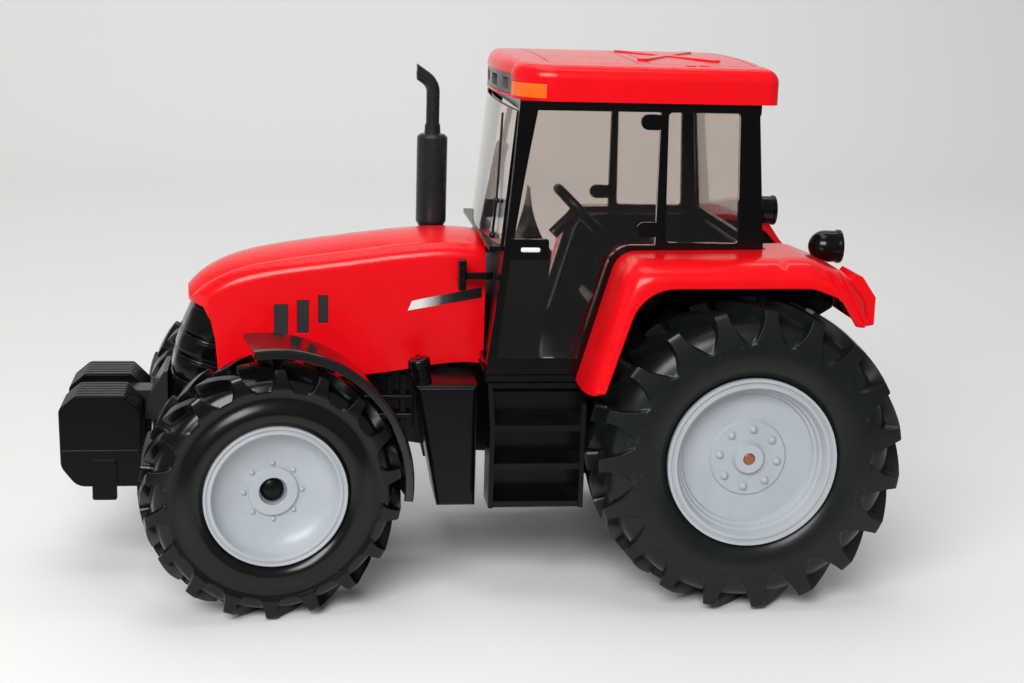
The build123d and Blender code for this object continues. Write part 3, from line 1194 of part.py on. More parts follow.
# the drawbar with its hole, and the lower link arms beside it
HITCH_Z, HITCH_T = 50.0, 5.0
HITCH_PIN = (-46.0, 2.5)  # ahead of the rear axle, radius of the hole
with BuildPart() as tow_hitch:
    with BuildSketch(level_plane(HITCH_Z)):
        with Locations(((-24.2 + HITCH_PIN[0]) / 2, 0)):
            Rectangle(-24.2 - HITCH_PIN[0], 10)
        with Locations((HITCH_PIN[0], 0)):
            Circle(6.0)
            Circle(HITCH_PIN[1], mode=Mode.SUBTRACT)
    extrude(amount=HITCH_T)
save(tow_hitch, "tow_hitch")
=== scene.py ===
# %% [markdown]
# # A toy farm tractor: plastics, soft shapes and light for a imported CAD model
#
# The CAD frame holds every moulded piece of the toy in its true place and size. This script
# gives each piece the plastic, rubber or metal it is made of. It adds what is easier to model
# here than in CAD, such as tyre lugs, wheel bolts and a printed stripe, and gives softer
# shapes to the pieces whose CAD solids are too plain. Round them stands a plain studio with a
# camera. Lengths are in metres, as Blender has them; `MM` lets sizes be read as millimetres.

# %% Load the frame
import json
from math import atan2, cos, degrees, pi, radians, sin, sqrt, tan, tau

import bmesh
import bpy
from mathutils import Matrix, Vector
from mathutils.bvhtree import BVHTree


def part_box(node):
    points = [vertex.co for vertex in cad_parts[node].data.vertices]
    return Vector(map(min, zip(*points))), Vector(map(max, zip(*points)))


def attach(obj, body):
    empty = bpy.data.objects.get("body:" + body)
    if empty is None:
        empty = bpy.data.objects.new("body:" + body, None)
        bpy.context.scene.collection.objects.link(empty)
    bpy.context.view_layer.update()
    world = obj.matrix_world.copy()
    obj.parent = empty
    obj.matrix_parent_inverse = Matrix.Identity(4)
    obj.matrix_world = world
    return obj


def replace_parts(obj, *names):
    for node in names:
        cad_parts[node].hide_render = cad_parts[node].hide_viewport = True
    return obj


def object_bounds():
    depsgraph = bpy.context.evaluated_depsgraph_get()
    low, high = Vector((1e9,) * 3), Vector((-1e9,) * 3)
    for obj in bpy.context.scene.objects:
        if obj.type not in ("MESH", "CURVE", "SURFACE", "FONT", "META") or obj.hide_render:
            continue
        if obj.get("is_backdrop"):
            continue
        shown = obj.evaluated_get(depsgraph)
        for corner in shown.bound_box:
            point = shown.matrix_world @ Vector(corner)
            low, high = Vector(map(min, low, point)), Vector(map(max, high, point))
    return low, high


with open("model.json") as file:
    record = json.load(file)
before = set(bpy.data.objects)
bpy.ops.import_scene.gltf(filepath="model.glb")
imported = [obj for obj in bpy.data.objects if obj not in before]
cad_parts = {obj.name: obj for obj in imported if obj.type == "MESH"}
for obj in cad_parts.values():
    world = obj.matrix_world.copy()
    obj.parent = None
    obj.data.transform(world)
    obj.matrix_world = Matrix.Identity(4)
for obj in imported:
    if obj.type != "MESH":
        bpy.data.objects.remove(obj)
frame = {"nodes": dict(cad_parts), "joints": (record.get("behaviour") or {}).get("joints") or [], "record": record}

MM = 0.001
SIDES = {"left": 1, "right": -1}  # each side with the sign of its direction along Y
AHEAD, ACROSS, ABOVE = Vector((1, 0, 0)), Vector((0, 1, 0)), Vector((0, 0, 1))
scene = bpy.context.scene
nodes = frame["nodes"]
cad_low, cad_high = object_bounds()
JOINTS = {joint["name"]: joint for joint in frame["joints"]}
REAR_AXLE_X = JOINTS["left_rear_spin"]["pos_m"][0] / MM  # sizes below count ahead from here
print(len(nodes), "nodes,", [round(v / MM) for v in Vector(cad_high) - Vector(cad_low)], "mm")


# %% [markdown]
# ## Writing materials as node trees
#
# Every finish below is a Principled shader with a few nodes in front of it. Such a tree could
# be wired by hand in the shader editor, but here it is written, so that it can be read and
# changed. Helpers keep it short: `feed` wires or sets a node's inputs, `node` adds one node,
# `ramp` turns a grey value into colours and `spread` turns it into another range. All
# patterns read Object coordinates, so they stay fixed to a piece as it turns, and their
# scales are real sizes.

# %% Helpers for node trees
def tone(red, green, blue):
    """A colour as seen on a screen, 0 to 255, in the linear values that shaders use."""
    values = [v / 255 for v in (red, green, blue)]
    return [v / 12.92 if v <= 0.04045 else ((v + 0.055) / 1.055) ** 2.4 for v in values] + [1.0]


def feed(tree, target, inputs):
    """Set a node's inputs from values, or wire them from sockets."""
    for key, value in inputs.items():
        if isinstance(value, bpy.types.NodeSocket):
            tree.links.new(value, target.inputs[key])
        else:
            target.inputs[key].default_value = value


def node(tree, kind, inputs=None, **settings):
    """A new node with its settings and its inputs."""
    made = tree.nodes.new(kind)
    for key, value in settings.items():
        setattr(made, key, value)
    feed(tree, made, inputs or {})
    return made


# %% Helpers for a material
def begin(name):
    """A new material with its tree, its shader and the piece's own coordinates."""
    material = bpy.data.materials.new(name)
    material.use_nodes = True
    tree = material.node_tree
    place = node(tree, "ShaderNodeTexCoord").outputs["Object"]
    return material, tree, tree.nodes["Principled BSDF"], place


def ramp(tree, value, *stops):
    """A colour ramp on a grey value; each stop is (position, colour)."""
    made = node(tree, "ShaderNodeValToRGB", {"Fac": value})
    elements = made.color_ramp.elements
    elements[0].position, elements[0].color = stops[0]
    elements[1].position, elements[1].color = stops[-1]
    for position, colour in stops[1:-1]:
        elements.new(position).color = colour
    return made.outputs["Color"]


def spread(tree, value, low, high, start=0.0, end=1.0):
    """A grey value that runs from start to end, spread over another range."""
    return node(tree, "ShaderNodeMapRange", {"Value": value, "From Min": start, "From Max": end,
                                             "To Min": low, "To Max": high}).outputs["Result"]


# %% [markdown]
# ## The studio
#
# The toy stands on a plain pale sweep: a floor that curves up into a wall. It could be two
# planes, but they would meet in a corner line, so one bent strip of mesh makes both. The main
# lamp is wide and soft and stands above and behind the camera, a weaker one hangs over the
# model, a third washes the wall, and the sky adds an even level from all round. Between the
# model and the viewer the card turns dark, which gives gloss something dark to mirror. The
# camera stands about two thirds of a metre to the tractor's left, a little higher than its
# roof, with a lens long enough to keep the perspective calm.

# %% Floor and backdrop in one sweep
SWEEP_HALF, SWEEP_FRONT = 3.0, 2.5
SWEEP_BACK = -1.1  # where the floor begins to rise
SWEEP_BEND, BEND_STEPS, SWEEP_TOP = 0.45, 24, 2.2
CARD_PALE_TO, CARD_DARK_FROM = 0.16, 0.42  # towards the viewer, where the card turns dark
CARD_PALE, CARD_DARK = (0.84, 0.84, 0.83, 1.0), (0.12, 0.12, 0.12, 1.0)


def quarter(steps):
    """The angles of a quarter turn in even steps."""
    return [radians(90 * k / steps) for k in range(steps + 1)]


def sweep():
    """A level floor, a quarter bend and an upright wall, as one strip."""
    line = [(SWEEP_FRONT, 0.0)]
    line += [(SWEEP_BACK - SWEEP_BEND * sin(turn), SWEEP_BEND * (1 - cos(turn)))
             for turn in quarter(BEND_STEPS)]
    line.append((SWEEP_BACK - SWEEP_BEND, SWEEP_TOP))
    points = [(x, y, z) for y, z in line for x in (-SWEEP_HALF, SWEEP_HALF)]
    faces = [(2 * i, 2 * i + 1, 2 * i + 3, 2 * i + 2) for i in range(len(line) - 1)]
    mesh = bpy.data.meshes.new("sweep")
    mesh.from_pydata(points, [], faces)
    mesh.shade_smooth()
    made = bpy.data.objects.new("sweep", mesh)
    scene.collection.objects.link(made)
    made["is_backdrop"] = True
    return made


def matt_card(name):
    """Pale matt card for the sweep, darker towards the viewer so that gloss stays deep."""
    material, tree, shader, place = begin(name)
    towards = node(tree, "ShaderNodeSeparateXYZ", {0: place}).outputs["Y"]
    nearness = spread(tree, towards, 0.0, 1.0, CARD_PALE_TO, CARD_DARK_FROM)
    feed(tree, shader, {"Base Color": ramp(tree, nearness, (0.0, CARD_PALE), (1.0, CARD_DARK)),
                        "Roughness": 0.9, "Specular IOR Level": 0.1})
    return material


backdrop = sweep()
backdrop.data.materials.append(matt_card("matt_card"))
print("sweep", len(backdrop.data.polygons), "faces")


# %% Camera
CAMERA_AT = Vector((73.98, 669.9, 241.3)) * MM
CAMERA_YAW, CAMERA_ROLL = radians(-7.82), radians(1.76)
CAMERA_PITCH = radians(12.91)  # looking down
CAMERA_LENS = 61.03


def camera_turn():
    """The camera's axes as columns: right, up and backwards."""
    ahead = Vector((sin(CAMERA_YAW) * cos(CAMERA_PITCH),
                    -cos(CAMERA_YAW) * cos(CAMERA_PITCH), -sin(CAMERA_PITCH)))
    level = ahead.cross(ABOVE).normalized()
    upright = level.cross(ahead)
    right = level * cos(CAMERA_ROLL) + upright * sin(CAMERA_ROLL)
    up = upright * cos(CAMERA_ROLL) - level * sin(CAMERA_ROLL)
    return Matrix((right, up, -ahead)).transposed()


lens = bpy.data.cameras.new("camera")
lens.lens = CAMERA_LENS
lens.sensor_width = 36.0
lens.clip_start = 0.05
camera = bpy.data.objects.new("camera", lens)
camera.matrix_world = Matrix.Translation(CAMERA_AT) @ camera_turn().to_4x4()
scene.collection.objects.link(camera)
scene.camera = camera
scene.view_settings.view_transform = "Standard"
print("camera", [round(v / MM) for v in CAMERA_AT], "mm, lens", CAMERA_LENS, "mm")


# %% Lamps and sky
LAMPS = [  # name, place, aimed at, width, height, watts
    ("overhead", (0.10, 0.05, 1.25), (0.0, 0.0, 0.1), 0.8, 0.6, 3.2),
    ("camera_side", (0.40, 1.05, 0.80), (0.0, 0.0, 0.08), 0.9, 0.5, 17.0),
    ("backdrop_wash", (0.0, -0.75, 1.5), (0.0, -1.5, 0.5), 1.6, 0.5, 8.0),
]
SKY_LEVEL = 0.25  # even light from all round
for name, place, target, width, height, watts in LAMPS:
    light = bpy.data.lights.new(name, "AREA")
    light.shape = "RECTANGLE"
    light.size, light.size_y, light.energy = width, height, watts
    lamp = bpy.data.objects.new(name, light)
    lamp.location = place
    lamp.rotation_euler = (Vector(target) - Vector(place)).to_track_quat("-Z", "Y").to_euler()
    scene.collection.objects.link(lamp)

sky = bpy.data.worlds.new("sky")
sky.use_nodes = True
feed(sky.node_tree, sky.node_tree.nodes["Background"],
     {"Color": (1.0, 1.0, 1.0, 1.0), "Strength": SKY_LEVEL})
scene.world = sky
print(len(LAMPS), "lamps")


# %% [markdown]
# ## Moulded plastic
#
# Injection-moulded plastic is coloured all through, so its colour hardly changes, but its
# gloss does: it is duller where it has been handled. Flows show as faint clouds, and dust as
# tiny pale specks. An image of all this would need every piece unwrapped, so noise and
# Voronoi cells in the piece's own coordinates draw it. A sharp CAD edge would look cut with a
# knife. A Bevel modifier could round it, but the CAD meshes stay untouched, so the shader's
# Bevel node rounds the normals by a quarter of a millimetre, which gives each edge the fine
# bright line that a mould leaves.

# %% Patterns of clouds and dust
SPECK = 0.09  # radius of a speck, as a share of the distance between specks


def noise(tree, place, size, detail=2.0, roughness=0.5):
    """Cloudy noise whose features are about `size` metres across."""
    return node(tree, "ShaderNodeTexNoise", {"Vector": place, "Scale": 1 / size, "Detail": detail,
                                             "Roughness": roughness}).outputs["Fac"]


def maths(tree, operation, *values):
    """The result of one step of arithmetic on numbers or sockets."""
    return node(tree, "ShaderNodeMath", dict(enumerate(values)), operation=operation).outputs[0]


def dust_specks(tree, place, spacing, share):
    """1 in a few tiny specks, 0 elsewhere."""
    cells = node(tree, "ShaderNodeTexVoronoi", {"Vector": place, "Scale": 1 / spacing})
    near = maths(tree, "LESS_THAN", cells.outputs["Distance"], SPECK)
    some = maths(tree, "LESS_THAN", cells.outputs["Color"], share)
    return maths(tree, "MULTIPLY", near, some)


# %% The recipe for moulded plastic and rubber
# patterns of noise are (size in millimetres, detail, roughness); edge and speck_gap are millimetres
PLASTIC = dict(clouds=(14, 4.0, 0.6), stops=(0.3, 0.7), handling=(5, 6.0, 0.7), skin=(0.35, 2.0),
               edge=0.25, relief=0.5, speck_gap=2.3, speck_colour=tone(118, 115, 110), dull_specks=True)


def moulded(name, colour, cloud, roughness, grain=0.010, dust=0.06, coat=0.0, shine=0.35, kind=PLASTIC):
    """A moulded surface from two near colours, a range of roughness and a grain depth in mm."""
    material, tree, shader, place = begin(name)
    clouds, handled, skin = (noise(tree, place, size * MM, *rest) for size, *rest in
                             (kind["clouds"], kind["handling"], kind["skin"]))
    base = ramp(tree, clouds, *zip(kind["stops"], (colour, cloud)))
    specks = dust_specks(tree, place, kind["speck_gap"] * MM, dust)
    dusted = node(tree, "ShaderNodeMix", {0: specks, 6: base, 7: kind["speck_colour"]}, data_type="RGBA")
    gloss = spread(tree, handled, *roughness)
    edges = node(tree, "ShaderNodeBevel", {"Radius": kind["edge"] * MM}, samples=4)
    bump = node(tree, "ShaderNodeBump", {"Height": skin, "Distance": grain * MM,
                                         "Strength": kind["relief"], "Normal": edges.outputs["Normal"]})
    feed(tree, shader, {
        "Base Color": dusted.outputs[2], "Normal": bump.outputs["Normal"],
        "Roughness": maths(tree, "MAXIMUM", gloss, specks) if kind["dull_specks"] else gloss,
        "Specular IOR Level": shine, "Coat Weight": coat, "Coat Roughness": 0.08})
    print("finish", name)
    return material


# %% Red, black and grey plastics
FINISHES = {  # the finish of each material slot
    "red_gloss": moulded("red_gloss_plastic", tone(236, 12, 24), tone(228, 8, 20), (0.16, 0.28),
                         grain=0.006, dust=0.05, coat=0.1, shine=0.25),
    "black_gloss": moulded("black_gloss_plastic", tone(6, 6, 7), tone(9, 9, 10), (0.10, 0.20),
                           grain=0.008, shine=0.3),
    "black_satin": moulded("black_satin_plastic", tone(7, 8, 8), tone(11, 12, 12), (0.18, 0.30),
                           grain=0.016, shine=0.2),
    "grey_panel": moulded("grey_panel_plastic", tone(92, 92, 95), tone(84, 84, 88), (0.2, 0.34)),
    "rim_grey": moulded("rim_grey_plastic", tone(166, 172, 177), tone(174, 180, 185), (0.28, 0.42),
                        grain=0.012, dust=0.04, coat=0.1),
    "orange_clear": moulded("orange_marker_plastic", tone(255, 112, 30), tone(250, 100, 22), (0.12, 0.22),
                            grain=0.004, dust=0.02, coat=0.4),
}
vent_grey = moulded("vent_grey_plastic", tone(50, 48, 51), tone(43, 42, 45), (0.3, 0.44))
carrier_grey = moulded("carrier_grey_plastic", tone(40, 41, 43), tone(34, 35, 37), (0.26, 0.4), shine=0.2)
weight_black = moulded("weight_black_plastic", tone(6, 7, 7), tone(9, 10, 10), (0.22, 0.34), shine=0.14)
exhaust_black = moulded("exhaust_black_plastic", tone(26, 31, 31), tone(31, 36, 36), (0.22, 0.32))
guard_black = moulded("guard_black_plastic", tone(6, 6, 7), tone(9, 9, 10), (0.08, 0.16), shine=0.8)
white_plastic = moulded("white_plastic", tone(240, 240, 238), tone(232, 232, 230), (0.2, 0.3))


# %% [markdown]
# ## Clear plastic
#
# The panes are thin smoke-tinted plastic with fine scratches. A real pane lets light into the
# cab, but a path tracer finds little light through a refracting solid, and a plain
# transparent film would lose the pane's thickness and gleam. So the material does both: it
# lets the lamps' rays through as through a tinted film and refracts all others. The orange
# markers on the roof show no depth, so they are glossy plastic, made above.

# %% The clear recipe
def clear(name, tint, film, roughness, scratches):
    """Clear plastic: refracts, and lets lamps shine through with the film's tint."""
    material, tree, shader, place = begin(name)
    clouds = noise(tree, place, 30 * MM)
    slanted = node(tree, "ShaderNodeMapping", {"Vector": place, "Rotation": (0.5, 0.9, 0.3),
                                               "Scale": (1.0, 0.06, 1.0)})
    lines = noise(tree, slanted.outputs["Vector"], 0.4 * MM, detail=3.0)
    feed(tree, shader, {
        "Base Color": ramp(tree, clouds, (0.3, tint), (0.7, [v * 0.97 for v in tint[:3]] + [1.0])),
        "Roughness": spread(tree, lines, roughness, roughness + scratches, 0.62, 0.7),
        "Transmission Weight": 1.0, "IOR": 1.46})
    through = node(tree, "ShaderNodeBsdfTransparent", {"Color": film})
    lamp_ray = node(tree, "ShaderNodeLightPath").outputs["Is Shadow Ray"]
    mixed = node(tree, "ShaderNodeMixShader", {0: lamp_ray, 1: shader.outputs["BSDF"],
                                               2: through.outputs["BSDF"]})
    feed(tree, tree.nodes["Material Output"], {"Surface": mixed.outputs["Shader"]})
    print("finish", name)
    return material


FINISHES["smoked_clear"] = clear("smoked_clear_plastic", tone(236, 228, 223), tone(242, 238, 235),
                                 roughness=0.03, scratches=0.12)


# %% [markdown]
# ## Rubber and metal
#
# The tyres are soft black rubber. It differs from plastic only in its measures, so it uses
# the same recipe with smaller clouds, softer edges and more dust. The big rear tyres are
# greyer and duller, and the front ones have a sheen. The rear axle shows in the hubs as a
# turned copper-coloured pin. Its tool marks are rings round it, far too fine to model, so a
# Wave texture draws them, centred on the axle by a Mapping node.

# %% Rubber for the tyres
RUBBER = dict(clouds=(9, 5.0, 0.65), stops=(0.35, 0.72), handling=(3, 5.0, 0.7), skin=(0.3, 3.0),
              edge=0.35, relief=0.6, speck_gap=1.6, speck_colour=tone(104, 103, 98), dull_specks=False)
FINISHES["rear_rubber"] = moulded("rear_rubber", tone(16, 20, 19), tone(21, 26, 25), (0.26, 0.34),
                                  grain=0.005, dust=0.12, shine=0.3, kind=RUBBER)
FINISHES["front_rubber"] = moulded("front_rubber", tone(5, 7, 7), tone(8, 10, 10), (0.16, 0.24),
                                   grain=0.003, dust=0.12, shine=0.36, kind=RUBBER)


# %% The turned copper pin
def turned_metal(name, colour, dark, centre):
    """Turned metal: fine rings about an axle that runs across the tractor."""
    material, tree, shader, place = begin(name)
    moved = node(tree, "ShaderNodeMapping", {"Vector": place, "Location": [-v for v in centre]})
    wave = node(tree, "ShaderNodeTexWave", {"Vector": moved.outputs["Vector"], "Scale": 900.0,
                                            "Distortion": 1.5}, wave_type="RINGS", rings_direction="Y")
    rings = wave.outputs["Fac"]
    bump = node(tree, "ShaderNodeBump", {"Height": rings, "Distance": 0.01 * MM})
    feed(tree, shader, {"Base Color": ramp(tree, rings, (0.0, dark), (1.0, colour)),
                        "Roughness": spread(tree, rings, 0.2, 0.38), "Metallic": 1.0,
                        "Normal": bump.outputs["Normal"]})
    print("finish", name)
    return material


FINISHES["copper_pin"] = turned_metal("copper_pin_metal", tone(214, 140, 105), tone(176, 104, 74),
                                      JOINTS["left_rear_spin"]["pos_m"])


# %% [markdown]
# ## Dressing the CAD pieces
#
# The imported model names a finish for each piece, its material slot. Each piece could be given
# its material by name, but one table of finishes for the slots dresses them all, and a second
# one gives the few pieces that differ from their slot's usual finish. The CAD meshes
# themselves stay untouched.

# %% Give every CAD piece its material
SPECIAL = {"side_vents": vent_grey, "weight_carrier": carrier_grey, "exhaust": exhaust_black,
           "left_front_fender": guard_black, "right_front_fender": guard_black}
slots = {part["node"]: part["material_slot"] for part in frame["record"]["subparts"]}
for name, piece in nodes.items():
    piece.data.materials.clear()
    piece.data.materials.append(SPECIAL.get(name, FINISHES[slots[name]]))
print(len(nodes), "CAD pieces dressed")


# %% [markdown]
# ## Copies round an axle
#
# Tyre lugs and wheel bolts are the same shape repeated round an axle. An Array modifier could
# copy them, but it needs a second object for the turn. Geometry Nodes need none, and one tree
# with named inputs serves both: points are made, the part is placed on each with its own
# turn, and the copies are made real and merged. The ring is made round the Y axis at the
# origin, then carried to the wheel's real place and steering angle and given its material.

# %% The tree that copies a part round an axle
ONE_POINT = 0.01 * MM  # points closer than this are merged


def ring_tree():
    """Geometry Nodes: a part copied round the Y axis, merged, then put in its place."""
    tree = bpy.data.node_groups.new("copies_round_axle", "GeometryNodeTree")
    face = tree.interface
    for label, kind in (("Part", "NodeSocketObject"), ("Copies", "NodeSocketInt"),
                        ("Phase", "NodeSocketFloat"), ("Centre", "NodeSocketVector"),
                        ("Steer", "NodeSocketVector"), ("Finish", "NodeSocketMaterial")):
        face.new_socket(label, in_out="INPUT", socket_type=kind)
    face.new_socket("Geometry", in_out="OUTPUT", socket_type="NodeSocketGeometry")
    given = tree.nodes.new("NodeGroupInput").outputs
    part = node(tree, "GeometryNodeObjectInfo", {"Object": given["Part"]}, transform_space="ORIGINAL")
    points = node(tree, "GeometryNodePoints", {"Count": given["Copies"]})
    step = maths(tree, "DIVIDE", tau, given["Copies"])
    index = node(tree, "GeometryNodeInputIndex").outputs[0]
    turn = maths(tree, "MULTIPLY_ADD", index, step, given["Phase"])
    spin = node(tree, "FunctionNodeAxisAngleToRotation", {"Axis": ACROSS, "Angle": turn})
    placed = node(tree, "GeometryNodeInstanceOnPoints", {"Points": points.outputs[0],
                                                         "Instance": part.outputs["Geometry"],
                                                         "Rotation": spin.outputs[0]})
    ring = placed.outputs[0]
    for kind, inputs in (
            ("GeometryNodeRealizeInstances", {}),
            ("GeometryNodeMergeByDistance", {"Distance": ONE_POINT}),
            ("GeometryNodeTransform", {"Translation": given["Centre"], "Rotation": given["Steer"]}),
            ("GeometryNodeSetMaterial", {"Material": given["Finish"]})):
        ring = node(tree, kind, {"Geometry": ring, **inputs}).outputs[0]
    feed(tree, tree.nodes.new("NodeGroupOutput"), {0: ring})
    return tree


copies_round_axle = ring_tree()


# %% [markdown]
# ## Where each wheel is
#
# The joints say where each axle lies and which way it points, and the tyre's box says where
# the middle of the wheel is along it. These places could be written down again here, but read
# from the frame they stay right when the CAD model changes. The front wheels are parked
# turned a little to the left, so their axles aren't square to the tractor.

# %% Wheel places from the frame
WHEELS = {}  # the middle of each wheel, and its turn about the upright axis
for side in SIDES:
    for end in ("front", "rear"):
        axle = Vector(JOINTS[f"{side}_{end}_spin"]["axis"])
        low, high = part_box(f"{side}_{end}_tyre")
        WHEELS[side, end] = ((Vector(low) + Vector(high)) / 2, atan2(-axle.x, axle.y))
for key, (centre, steer) in WHEELS.items():
    print(key, [round(v / MM, 1) for v in centre], round(degrees(steer), 1), "degrees")


# %% Put copies on a wheel
def on_wheel(name, side, end, part, copies, phase, slot):
    """Copies of a part round one wheel's axle, as a plain mesh; phase is in degrees."""
    centre, steer = WHEELS[side, end]
    values = {"Part": part, "Copies": copies, "Phase": radians(phase), "Centre": centre,
              "Steer": (0.0, 0.0, steer), "Finish": FINISHES[slot]}
    made = bpy.data.objects.new(name, bpy.data.meshes.new(name))
    scene.collection.objects.link(made)
    build = made.modifiers.new("build", "NODES")
    build.node_group = copies_round_axle
    for socket in copies_round_axle.interface.items_tree:
        if socket.in_out == "INPUT":
            build[socket.identifier] = values[socket.name]
    graph = bpy.context.evaluated_depsgraph_get()
    mesh = bpy.data.meshes.new_from_object(made.evaluated_get(graph), depsgraph=graph)
    made.modifiers.clear()
    made.data = mesh
    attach(made, f"{side}_{end}_wheel")
    print(name, len(mesh.polygons), "faces")
    return made


# %% [markdown]
# ## The tyres
#
# A tractor tyre's lugs are not glued on: the side wall runs out into them, and between them
# the rounded carcass shows. Lugs could be blocks set on a smooth ring, but their feet would
# end in a hard line, so the tyre is one skin. Seen in section it has two outlines, an outer
# one over the lugs and an inner one over the carcass, and each column of the mesh follows one
# or the other. A lug flares towards its foot, so the hollow between two lugs ends in a U on
# the side wall. The columns bend with the edges of the lug, which keeps those edges crisp
# with few faces. The rule below gives the skin of one lug and one hollow on both halves of
# the tread; the copying tree repeats it round the wheel.

# %% Sizes of the two kinds of tyre
# `wall` runs from the bead out to the lugs' feet, as (out from the tyre's middle, radius) in
# millimetres; each row of `tread` goes on over the shoulder to the middle of the tread, as
# (lug out, lug radius, carcass out, carcass radius, lug width in degrees, lug swept forward);
# `foot` is the width of the hollow where it ends on the side wall, in degrees
TYRES = {
    "rear": dict(
        lugs=19, phase=-4.8, foot=3.0,
        wall=[(15.6, 31.0), (15.8, 32.2), (17.0, 33.6), (18.1, 36.0), (18.8, 39.2), (18.95, 42.0),
              (18.85, 44.4)],
        tread=[(18.80, 45.1, 18.35, 44.95, 15.5, 0.05), (18.72, 45.9, 17.95, 45.9, 13.4, 0.10),
               (18.60, 47.2, 17.50, 47.2, 11.2, 0.15), (18.35, 49.0, 16.9, 48.6, 8.8, 0.25),
               (18.0, 51.2, 16.1, 49.9, 6.8, 0.4), (17.5, 53.6, 15.2, 51.0, 5.5, 0.6),
               (16.9, 56.0, 14.2, 51.9, 4.9, 0.85), (16.4, 56.9, 13.4, 52.4, 4.8, 1.1),
               (15.6, 57.3, 12.6, 52.8, 4.8, 1.6), (12.0, 57.9, 10.4, 53.4, 5.3, 4.6),
               (8.0, 58.3, 7.4, 53.8, 5.8, 8.2), (4.0, 58.5, 4.0, 54.0, 6.3, 11.8),
               (1.2, 58.5, 1.0, 54.1, 6.6, 14.4)],
    ),
    "front": dict(
        lugs=18, phase=-3.3, foot=9.0,
        wall=[(11.9, 25.4), (12.4, 26.1), (13.6, 27.2), (14.6, 28.8), (14.95, 30.6), (14.6, 32.5),
              (13.8, 34.3), (13.35, 35.7), (13.4, 37.1), (13.8, 38.3)],
        tread=[(14.15, 39.2, 13.75, 39.0, 10.6, 0.1), (14.2, 39.9, 13.3, 39.8, 8.8, 0.2),
               (14.15, 41.2, 12.8, 40.8, 7.0, 0.35), (13.9, 43.2, 12.1, 41.8, 5.5, 0.6),
               (13.5, 45.0, 11.3, 42.5, 4.7, 0.9), (13.0, 46.0, 10.6, 42.8, 4.4, 1.2),
               (12.2, 46.4, 9.9, 43.0, 4.5, 1.9), (9.0, 46.7, 8.2, 43.3, 5.1, 5.0),
               (6.0, 46.95, 5.8, 43.5, 5.7, 9.0), (3.0, 47.0, 3.0, 43.6, 6.3, 12.6),
               (1.0, 47.0, 0.8, 43.6, 6.6, 15.0)],
    ),
}
TOP_COLUMNS, FLANK_COLUMNS, FLOOR_COLUMNS = 4, 2, 8
FLANK_TURN, FLANK_POWER = 1.1, 0.7  # degrees from a lug's edge down to the carcass, and its curve
LUG_END, END_SWEEP = 0.6, 0.6  # share of the way out where a lug's end meets the carcass; degrees
BEAD_IN = 0.9  # the bead runs on inwards to this share of its distance from the tyre's middle
ROWS_BETWEEN = 2  # rows of the mesh for each row of the tables
PITCH_MERGE = 0.004 * MM  # points of one pitch closer than this are merged


# %% Helpers for smooth lines and skins of faces
def smooth_line(points, times):
    """A polyline with points added between its corners, on a smooth curve through them."""
    line = []
    for i in range(len(points) - 1):
        before, here, after, last = (Vector(points[max(min(j, len(points) - 1), 0)])
                                     for j in (i - 1, i, i + 1, i + 2))
        for k in range(times):
            t = k / times
            line.append(0.5 * ((2 * here) + (after - before) * t
                               + (2 * before - 5 * here + 4 * after - last) * t * t
                               + (3 * here - before - 3 * after + last) * t**3))
    return line + [Vector(points[-1])]


def grid_faces(shape, grid, way):
    """Fill a grid of vertices with faces; way is 1 or -1 and says which side they face."""
    for a, b in zip(grid, grid[1:]):
        for k in range(len(a) - 1):
            shape.faces.new((a[k], a[k + 1], b[k + 1], b[k])[::way])


def object_of(shape, name):
    """Turn a mesh in the making into an object that isn't in the scene yet."""
    mesh = bpy.data.meshes.new(name)
    shape.to_mesh(mesh)
    shape.free()
    return bpy.data.objects.new(name, mesh)


def creased(mesh, angle):
    """Smooth shading, with edges sharper than an angle in degrees left crisp."""
    mesh.shade_smooth()
    mesh.set_sharp_from_angle(angle=radians(angle))


# %% The skin of one lug
def columns(pitch, lug_turn):
    """(turn in degrees, height 0 to 1) of each column of one pitch, from the lug's middle on."""
    half = lug_turn / 2
    flank = min(FLANK_TURN, (pitch - lug_turn) / 3)
    floor = pitch - lug_turn - 2 * flank
    fall = [(half * i * 2 / TOP_COLUMNS, 1.0) for i in range(TOP_COLUMNS // 2 + 1)]
    fall += [(half + flank * i / FLANK_COLUMNS, 1 - (i / FLANK_COLUMNS) ** FLANK_POWER)
             for i in range(1, FLANK_COLUMNS)]
    level = [(half + flank + floor * i / FLOOR_COLUMNS, 0.0) for i in range(FLOOR_COLUMNS + 1)]
    return fall + level + [(pitch - turn, height) for turn, height in fall[::-1]]


def half_skin(size, side):
    """Rows of points of one half of one pitch: side is 1 outwards, -1 inwards."""
    pitch = 360 / size["lugs"]
    offset = 0.0 if side == 1 else pitch / 2
    foot_turn = pitch - size["foot"]
    foot, tread = size["wall"][-1], size["tread"]
    lug, floor, edges = (smooth_line([start] + [row[i:i + 2] for row in tread], ROWS_BETWEEN)[1:]
                         for i, start in ((0, foot), (2, foot), (4, (foot_turn, 0.0))))
    rows = [[(turn + offset, across, radius) for turn, _ in columns(pitch, foot_turn)]
            for across, radius in smooth_line(size["wall"], ROWS_BETWEEN)]
    for high, low, (lug_turn, swept) in zip(lug, floor, edges):
        rows.append([(turn + offset + swept, *low.lerp(high, height))
                     for turn, height in columns(pitch, lug_turn)])
    # the lug's inner end drops to the carcass, and the last row is evenly spaced
    _, _, inner, deep, lug_turn, swept = tread[-1]
    start = offset + swept + END_SWEEP
    last = [(turn + start, inner * LUG_END, deep) for turn, _ in columns(pitch, lug_turn)]
    rows += [last, [(pitch * i / (len(last) - 1) + start, 0.0, deep) for i in range(len(last))]]
    return [[(radians(turn), side * across * MM, radius * MM) for turn, across, radius in row]
            for row in rows]


